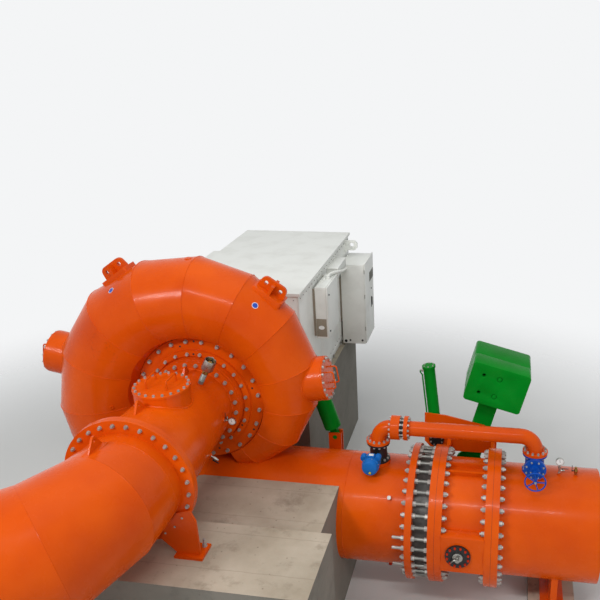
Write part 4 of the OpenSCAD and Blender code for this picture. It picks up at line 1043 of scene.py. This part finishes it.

# Air valve: threaded nipple, brass union and turned cup with a slotted dome inside, its slots drawn as black
# blocks of painted shade
nipple = [(0, 0), (0.034, 0), (0.034, 0.038), (0.027, 0.042)]
for k in range(4):
    nipple += [(0.037, 0.046 + 0.026 * k), (0.025, 0.064 + 0.026 * k)]
nipple += [(0.026, 0.150), (0.026, 0.172), (0, 0.172)]
air_place = on_cone(28, 0.463, BOSS_H)
cup = lathe([(0, 0.205), (0.060, 0.205), (0.072, 0.212), (0.076, 0.222), (0.076, 0.345), (0.0745, 0.352),
             (0.072, 0.354), (0.066, 0.352), (0.064, 0.345), (0.064, 0.262), (0, 0.262)], air_place, 8)
dome_profile = [(0.050 * cos(a), 0.262 + 0.075 * sin(a)) for a in (pi / 2 * k / 10 for k in range(10))]
dome = lathe([(0, 0.262)] + dome_profile + [(0, 0.337)], air_place, 32)
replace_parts(piece("air_valve_cup", cup, STAINLESS), "air_valve")
piece("air_valve_nipple", lathe(nipple, air_place, 32), STUD_STEEL)
piece("air_valve_brass", [dome, lathe([(0.020, 0.150), (0.036, 0.150), (0.040, 0.156), (0.040, 0.200),
                                       (0.036, 0.207),
                                       (0.020, 0.207), (0.020, 0.150)], air_place, 12)], BRASS)
# Black blocks on the dome are painted shade in its slots
piece("air_valve_slot_shades", [block((0.030, -0.0018, 0.268), (0.051, 0.0018, 0.300), 0,
                                air_place @ Matrix.Rotation(pi * k / 4, 4, "Z")) for k in range(8)],
      RUBBER_AND_HOLE_SHADE)

# Threaded plugs and stickers on the case, and black discs of painted shade in the jack-screw holes of the
# covers
plug_place = facing((2.490, -sin(radians(46)) * (LINE_R + 0.018),
                     LINE_Z + cos(radians(46)) * (LINE_R + 0.018)),
                    (0, -sin(radians(46)), cos(radians(46))), X)


def on_shell(px, py):
    """Place on the case where the photo shows a point, with local Z along its normal."""
    seen_way = FORWARD + RIGHT * ((px - CENTRE_PX[0]) / FOCAL_PX) + UP * ((CENTRE_PX[1] - py) / FOCAL_PX)
    spot, normal, _, _ = case_tree.ray_cast(CAMERA_AT, seen_way.normalized(), 40.0)
    return facing(spot, normal, Z.cross(normal))


def pipe_plug(matrix, radius):
    """Threaded plug with a hexagon socket."""
    return lathe([(0, -0.010), (radius, -0.010), (radius, 0.010), (radius * 0.92, 0.014),
                  (radius * 0.45, 0.014),
                  (radius * 0.45, 0.006), (0, 0.006)], matrix, 24)


piece("case_pipe_plugs", [pipe_plug(on_shell(111.7, 407.4), 0.026),
                          disc(0.045, 0.0315, facing(on_case(180, -0.020).translation - X * 0.09), 32,
                               0.003)],
      ORANGE)
piece("line_plug", bolt(plug_place, 46, washer=False), ZINC)
sticker_spots = ((255.0, 305.5), (111.0, 290.5))
piece("sticker_rims", [disc(0.040, 0.0012, on_shell(x, y), 32) for x, y in sticker_spots],
      STICKER_WHITE)
piece("sticker_fields", [disc(0.034, 0.0020, on_shell(x, y), 32) for x, y in sticker_spots],
      STICKER_BLUE)
# Black discs on the cover faces are painted shade inside the jack-screw holes
jack_hole_shades = []
for y, radius, angles in ((COVER_Y, 0.800, (90, 200, 330)), (MID_RING_Y, 0.645, (90, 210, 330)),
                          (COVER_Y, 0.745, (15, 105, 195, 285))):
    for angle in angles:
        a = radians(angle)
        jack_hole_shades.append(disc(0.013, 0.0015, facing((radius * cos(a), y, SHAFT_H + radius * sin(a)), -Y),
                               20))
piece("jack_screw_hole_shades", jack_hole_shades, RUBBER_AND_HOLE_SHADE)

# Valve's near end: ring of bolts, gland boss and its drain fitting
END_Y = -0.893
near_end = facing((VALVE_X, END_Y, LINE_Z), -Y)
piece("valve_end_bolts", bolts(RING, near_end, 12, 0.132, 24, 0.26), RED_ORANGE)
piece("valve_end_boss", [
    lathe([(0, 0), (0.062, 0), (0.062, 0.016), (0.050, 0.020), (0.050, 0.034), (0.020, 0.036),
           (0.020, 0.060),
           (0.026, 0.062), (0.026, 0.080), (0, 0.082)], near_end, 32),
    tube([(VALVE_X, END_Y - 0.050, LINE_Z), (VALVE_X - 0.045, END_Y - 0.052, LINE_Z - 0.010),
          (VALVE_X - 0.075, END_Y - 0.040, LINE_Z - 0.050), (VALVE_X - 0.080, END_Y - 0.012,
                                                             LINE_Z - 0.085)], 0.009)],
      STAINLESS)
# Box of plates that stiffens the near hub, and the gasket edges of the valve's two flange pairs, dark red as
# painted shade in the joints
HUB_HALF_H = 0.250
piece("valve_hub_box", [
    block((VALVE_X0 + FLANGE_T - 0.002, END_Y + 0.030, LINE_Z - HUB_HALF_H),
          (VALVE_X1 - FLANGE_T + 0.002, -0.600, LINE_Z + HUB_HALF_H), 0.006)], ORANGE)
# The gasket ring is real; its dark red colour is painted shade in the crease between the flanges
flange_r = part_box("joint_ring")[1][1]
gasket_edge = [(flange_r - 0.010, -0.002), (flange_r + 0.0006, -0.002), (flange_r + 0.0006, 0.002),
               (flange_r - 0.010, 0.002), (flange_r - 0.010, -0.002)]
piece("flange_gaskets_and_joint_shade", [lathe(gasket_edge, facing((x, 0, LINE_Z), X, Z),
                               128) for x in (VALVE_X0, VALVE_X1)],
      GASKET_AND_JOINT_SHADE)
piece("pipe_drain_plug", bolts(ROW, facing((2.478, -0.450, LINE_Z - sqrt(LINE_R ** 2 - 0.450 ** 2) + 0.004),
                                                (0, -0.633, -0.774), X), 1, 0.0, 40, material=RED_ORANGE),
      RED_ORANGE)
# Blind disc and bolts on the cylinder's bracket
bracket_face = facing((2.930, 1.010, 1.770), -Y)
piece("bracket_disc", disc(0.108, 0.020, bracket_face, 48, 0.003), BLACK_IRON)
piece("bracket_bolts", [bolts(RING, moved(bracket_face, 0, 0, 0.020), 8, 0.084, 19, 0.39),
                        bolts(ROW, facing((3.02, 1.010, 2.02), -Y), 4, 0.55, 30)], ZINC)

# Cylinder: port on its cap and the bolts of its head
ROD_TILT = radians(6)
ROD_WAY = Vector((-sin(ROD_TILT), 0, cos(ROD_TILT)))
ROD_FOOT = Vector((VALVE_X - 0.413, 1.150, LINE_Z))
cap_top = ROD_FOOT + ROD_WAY * (0.585 + 1.010)
piece("cylinder_cap_bolts", bolts(RING, facing(cap_top, ROD_WAY, Y), 6, 0.070, 17), ZINC)
port_spot = ROD_FOOT + ROD_WAY * (0.585 + 0.930)
side_line = [port_spot - X * 0.126 - Y * 0.020, port_spot - X * 0.126 - Y * 0.020 - ROD_WAY * 0.020,
             port_spot - X * 0.102 - Y * 0.020 - ROD_WAY * 0.060,
             port_spot - X * 0.102 - Y * 0.020 - ROD_WAY * 0.760]
piece("cylinder_side_line", tube(side_line, 0.011, sides=12), GREEN)
piece("cylinder_port", [lathe([(0, 0), (0.022, 0), (0.022, 0.030), (0.016, 0.034), (0.016, 0.055),
                               (0, 0.055)],
                              facing(port_spot - X * 0.078, -X, Z), 6)], ZINC)

# Gate valve: bonnet bolts, gland and the nut on its wheel
stem_height = (GATE_Z + BYPASS_Z - BYPASS_BEND - BYPASS_FLANGE_T) / 2
piece("gate_valve_bolts", [bolts(RING, facing((BYPASS_XS[1], -0.208, stem_height), -Y), 8, 0.112, 19, 0.39),
                           bolts(ROW, facing((BYPASS_XS[1] - 0.052, -0.262, stem_height), -Y), 2, 0.104, 14,
                                 0.0, 12)],
      ZINC)
piece("handwheel_nut", bolt(facing((BYPASS_XS[1], -0.485, stem_height), -Y), 22),
      ZINC, "gate_handwheel")

# Anchor bolts of the feet
foot_bolts = []
for side_way in (-1, 1):
    foot_bolts.append(bolt(facing((side_way * 0.715, ELBOW_Y + 0.080, 2.080)), 46, 60))
for x in (-0.115, 0.115):
    for y in (-0.520, 0.520):
        foot_bolts.append(bolt(facing((4.575 + x, y, 0.220)), 36, 30))
piece("foot_anchor_bolts", foot_bolts, ZINC)

# Generator: panel joints and screws, latches, vent, handle, grommets, lower dark panel and conduit
SKIN = 0.0016
panels = []
for y0, y1 in ((GEN_Y0 + 0.030, 2.270), (2.290, 3.390), (3.410, GEN_Y1 - 0.030)):
    for x_way in (-1, 1):
        panels.append(block((x_way * (GEN_HALF_W - 0.001), y0, GEN_BOTTOM + 0.060),
                            (x_way * (GEN_HALF_W + SKIN), y1, GEN_TOP - 0.030), 0.0008))
for x0, x1 in ((-0.920, -0.010), (0.010, 0.920)):
    for y, way in ((GEN_Y0, -1), (GEN_Y1, 1)):
        panels.append(block((x0, y - way * 0.001, GEN_BOTTOM + 0.060),
                            (x1, y + way * SKIN, GEN_TOP - 0.030), 0.0008))
piece("generator_panels", panels, WHITE)
panel_screws = []
for z in (GEN_TOP - 0.060, GEN_BOTTOM + 0.090):
    for x0, x1 in ((-0.880, -0.050), (0.050, 0.880)):
        panel_screws.append(bolts(ROW, facing((x0, GEN_Y0 - SKIN, z), -Y), 6, x1 - x0, 13, washer=False))
        panel_screws.append(bolts(ROW, facing((-x0, GEN_Y1 + SKIN, z), Y, -X), 6, x1 - x0, 13, washer=False))
    for y0, y1 in ((GEN_Y0 + 0.080, 2.220), (2.340, 3.340), (3.460, GEN_Y1 - 0.080)):
        panel_screws.append(bolts(ROW, facing((GEN_HALF_W + SKIN, y0, z), X, Y), 7, y1 - y0, 13,
                                  washer=False))
        panel_screws.append(bolts(ROW, facing((-GEN_HALF_W - SKIN, y1, z), -X, -Y), 7, y1 - y0, 13,
                                  washer=False))
piece("generator_panel_screws", panel_screws, ZINC)
base_bolts = [bolts(ROW, facing((side_way * (GEN_HALF_W - 0.015), GEN_Y0 + 0.300, 2.000), Z, Y), 6, 2.74,
                    36, 0, 20,
                    washer=True) for side_way in (-1, 1)]
piece("generator_anchor_bolts", base_bolts, ZINC)

# Flat box, its small box and the cabinet stand off the housing on primed spacers, each with its own door
BOX_X0, BOX_X1, BOX_Y0, BOX_Y1, BOX_Z0, BOX_Z1 = 0.990, 1.180, 1.900, 2.600, 2.870, 3.690
SMALL_BOX_X1, SMALL_BOX_Y0, SMALL_BOX_Y1, SMALL_BOX_Z0, SMALL_BOX_Z1 = 1.130, 2.850, 3.480, 3.540, 3.700
CABINET_X0, CABINET_X1, CABINET_Y0, CABINET_Y1 = 0.986, 1.414, 3.660, 4.400
CABINET_Z0, CABINET_Z1 = 2.040, 3.510
DOOR_T, DOOR_GAP = 0.020, 0.004


def door_box(low, high, gasket, door_low, door_high, door_edge, edge):
    """Sheet box on the generator's side whose door, on a gasket, faces along X."""
    (x0, y0, z0), (x1, y1, z1) = low, high
    return [block(low, (x1 - DOOR_T - DOOR_GAP, y1, z1), edge),
            block((x1 - DOOR_T - 0.010, y0 + gasket, z0 + gasket),
                  (x1 - DOOR_T + 0.002, y1 - gasket, z1 - gasket)),
            block((x1 - DOOR_T, y0 + door_low[0], z0 + door_low[1]),
                  (x1, y1 + door_high[0], z1 + door_high[1]), door_edge)]


flat_box = door_box((BOX_X0, BOX_Y0, BOX_Z0), (BOX_X1, BOX_Y1, BOX_Z1), 0.012,
                    (0.004, 0.004), (-0.004, -0.004), 0.004, 0.003)
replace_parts(piece("flat_box", flat_box, WHITE), "side_box")
LID_OVER, LID_H = 0.004, 0.016
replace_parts(piece("small_terminal_box", [
    block((GEN_HALF_W - 0.001, SMALL_BOX_Y0, SMALL_BOX_Z0),
          (SMALL_BOX_X1, SMALL_BOX_Y1, SMALL_BOX_Z1 - 0.018), 0.003),
    block((GEN_HALF_W, SMALL_BOX_Y0 - LID_OVER, SMALL_BOX_Z1 - LID_H),
          (SMALL_BOX_X1 + LID_OVER, SMALL_BOX_Y1 + LID_OVER, SMALL_BOX_Z1), 0.003)], WHITE), "small_box")
cabinet = door_box((CABINET_X0, CABINET_Y0, CABINET_Z0), (CABINET_X1, CABINET_Y1, CABINET_Z1), 0.015,
                   (0.006, 0.012), (0.030, 0.014), 0.005, 0.004)
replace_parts(piece("terminal_cabinet", cabinet, WHITE), "side_cabinet")
spacers = [block((GEN_HALF_W - 0.001, y, z0), (x1 + 0.001, y + 0.030, z1), 0.002)
           for y, z0, z1, x1 in ((1.912, 2.900, 3.660, BOX_X0), (2.558, 2.900, 3.660, BOX_X0),
                                 (3.680, 2.480, 3.260, CABINET_X0), (4.340, 2.480, 3.260, CABINET_X0))]
piece("box_spacers", spacers, GREY_PANEL)
# A darker brownish-grey panel over the lower part of the flat box's near face
piece("flat_box_lower_dark_panel", block((BOX_X0 + 0.004, BOX_Y0 - 0.0025, BOX_Z0 + 0.030),
                                   (BOX_X1 - DOOR_T - 0.006, BOX_Y0 + 0.001, 3.190),
                                   0.001), GREY_PANEL)
piece("flat_box_label", plate([[(0.046 * cos(a), 0.032 * sin(a)) for a in
                                (tau * k / 32 for k in range(32))]], 0, 0.0045,
                              facing((1.074, BOX_Y0, 3.048), -Y)), STICKER_WHITE)
latch = [(0, -0.001), (0.014, -0.001), (0.014, 0.010), (0.010, 0.013), (0, 0.013)]
piece("box_latches", [lathe(latch, facing((BOX_X1, BOX_Y0 + 0.104, z), X, Z), 20) for z in (2.959, 3.549)]
      + [disc(radius, 0.004, facing((x, CABINET_Y0, z), -Y), 20)
         for x, z, radius in ((1.038, 2.086, 0.026), (1.117, 2.103, 0.017), (1.338, 2.107, 0.019))],
      RUBBER_AND_HOLE_SHADE)
piece("cabinet_handle", [block((CABINET_X1 - 0.001, 4.180, 2.560), (CABINET_X1 + 0.008, 4.204, 2.760),
                               0.003),
                         block((CABINET_X1 + 0.006, 4.186, 2.600), (CABINET_X1 + 0.022, 4.198, 2.750),
                               0.003),
                         disc(0.016, 0.008, facing((CABINET_X1, 4.200, 2.915), X, Z), 20, 0.002)],
      BLACK_IRON)
vent = [block((CABINET_X1 - 0.001, 4.050, 3.085), (CABINET_X1 + 0.003, 4.400, 3.255), 0.001)]
vent += [block((CABINET_X1 + 0.002, 4.062, 3.098 + 0.019 * k),
               (CABINET_X1 + 0.008, 4.388, 3.106 + 0.019 * k), 0.001)
         for k in range(8)]
piece("cabinet_vent", vent, VENT_GREY)
hinge_spots = [(BOX_X1 - 0.012, BOX_Y1 - 0.002, z) for z in (3.000, 3.560)]
hinge_spots += [(CABINET_X1 - 0.012, CABINET_Y0 + 0.004, z) for z in (2.300, 2.900, 3.350)]
piece("door_hinges", [disc(0.007, 0.070, facing(spot), 16, 0.001) for spot in hinge_spots], STAINLESS)

# Flexible conduit from the flat box's top to the cabinet's corner, with a ribbed sleeve and its glands
CONDUIT_R = 0.022
route = [Vector(p) for p in ((1.088, 2.357, 3.700), (1.092, 2.385, 3.728), (1.110, 2.455, 3.738),
                             (1.145, 2.600, 3.715),
                             (1.163, 2.800, 3.665), (1.166, 3.000, 3.612), (1.155, 3.220, 3.562),
                             (1.125, 3.420, 3.512),
                             (1.085, 3.590, 3.460), (1.072, 3.662, 3.440))]
smooth_route = []
for a, b, c, d in zip([route[0]] + route, route, route[1:], route[2:] + [route[-1]]):
    for k in range(6):
        t = k / 6
        smooth_route.append(0.5 * (2 * b + (c - a) * t + (2 * a - 5 * b + 4 * c - d) * t ** 2
                                   + (3 * b - a - 3 * c + d) * t ** 3))
smooth_route.append(route[-1])
conduit = [tube(smooth_route, CONDUIT_R, sides=16)]
for near, far in zip(smooth_route, smooth_route[1:]):
    rib = (far - near).normalized() * 0.004
    conduit.append(tube([near - rib, near + rib], CONDUIT_R + 0.0025, sides=16))
conduit += [lathe([(0, -0.012), (0.036, -0.012), (0.036, 0.012), (0.030, 0.018), (0.030, 0.036), (0, 0.036)],
                  facing(route[0] + Z * 0.001), 24),
            lathe([(0, -0.004), (0.040, -0.004), (0.040, 0.030), (0.033, 0.038), (0.031, 0.100), (0, 0.100)],
                  facing(route[-1] - Y * 0.004, Vector((0.05, -1.0, 0.18)), Z), 24)]
conduit += [lathe([(0, -0.002), (0.024, -0.002), (0.024, 0.018), (0.017, 0.024), (0, 0.024)],
                  facing((x, y, BOX_Z1)), 20)
            for x, y in ((1.040, 2.180), (1.048, 2.270))]
piece("box_conduit", conduit, WHITE)

# Room: plain pale floor, soft studio light and the photo's camera
def lamp(name, place, target, size, power):
    """Oblong area lamp turned to a target."""
    light = bpy.data.lights.new(name, "AREA")
    light.shape = "RECTANGLE"
    light.size, light.size_y = size
    light.energy = power
    made = bpy.data.objects.new(name, light)
    made.location = place
    made.rotation_euler = (Vector(target) - Vector(place)).to_track_quat("-Z", "Y").to_euler()
    bpy.context.scene.collection.objects.link(made)
    return made


FLOOR_REACH = 60.0
floor_mesh = bpy.data.meshes.new("floor")
floor_mesh.from_pydata([(-FLOOR_REACH, -FLOOR_REACH, 0), (FLOOR_REACH, -FLOOR_REACH, 0),
                        (FLOOR_REACH, FLOOR_REACH, 0), (-FLOOR_REACH, FLOOR_REACH, 0)], [], [(0, 1, 2, 3)])
floor = bpy.data.objects.new("floor", floor_mesh)
bpy.context.scene.collection.objects.link(floor)
floor_look, floor_tree, floor_place = start("pale_studio_floor")
# Even matt floor near the set, which gives way to the pale room further off
distance = add(floor_tree, "ShaderNodeVectorMath", {0: floor_place}, operation="LENGTH")
fade = add(floor_tree, "ShaderNodeMapRange", {"Value": distance, "From Min": 5.0, "From Max": 12.0},
           interpolation_type="SMOOTHSTEP")
ground = add(floor_tree, "ShaderNodeBsdfPrincipled", {"Base Color": linear("#E0E0DD"), "Roughness": 0.9,
                                                      "Specular IOR Level": 0.2})
gone = add(floor_tree, "ShaderNodeBsdfTransparent")
both = add(floor_tree, "ShaderNodeMixShader", {0: fade, 1: ground, 2: gone})
add(floor_tree, "ShaderNodeOutputMaterial", {"Surface": both})
floor_mesh.materials.append(floor_look)

lamp("key_light", (-6.0, -12.0, 12.0), (0.8, 0.0, 2.0), (4.0, 2.4), 980)
lamp("top_light", (1.5, 1.0, 14.0), (1.0, 0.5, 2.0), (10.0, 10.0), 540).visible_glossy = False
lamp("front_strip", (2.6, -8.4, 11.8), (2.2, -0.6, 1.9), (6.0, 0.6), 340)
lamp("right_fill", (13.0, -8.0, 6.0), (1.5, 0.0, 2.0), (7.0, 5.0), 400).visible_glossy = False

world = bpy.data.worlds.new("pale_room")
bpy.context.scene.world = world
world.use_nodes = True
sky = world.node_tree
sky.nodes.clear()
rays = add(sky, "ShaderNodeLightPath")
seen = add(sky, "ShaderNodeMath", {0: rays.outputs["Is Camera Ray"], 1: rays.outputs["Is Glossy Ray"]},
           operation="MAXIMUM")
seen = add(sky, "ShaderNodeMath", {0: seen, 1: rays.outputs["Is Transmission Ray"]}, operation="MAXIMUM")
dim = add(sky, "ShaderNodeBackground", {"Color": linear("#DCE0E4"), "Strength": 0.36})
pale = add(sky, "ShaderNodeBackground", {"Color": linear("#F4F5F6"), "Strength": 1.0})
mixed = add(sky, "ShaderNodeMixShader", {0: seen, 1: dim, 2: pale})
add(sky, "ShaderNodeOutputWorld", {"Surface": mixed})

camera_data = bpy.data.cameras.new("photo_camera")
camera_data.sensor_width = SENSOR_MM
camera_data.lens = SENSOR_MM * FOCAL_PX / PHOTO_SIDE
camera_data.shift_x = 0.5 - CENTRE_PX[0] / PHOTO_SIDE
camera_data.shift_y = CENTRE_PX[1] / PHOTO_SIDE - 0.5
camera_data.clip_end = 200.0
camera = bpy.data.objects.new("photo_camera", camera_data)
camera.matrix_world = Matrix.Translation(CAMERA_AT) @ Matrix((RIGHT, UP, -FORWARD)).transposed().to_4x4()
bpy.context.scene.collection.objects.link(camera)
bpy.context.scene.camera = camera
bpy.context.scene.view_settings.view_transform = "Standard"
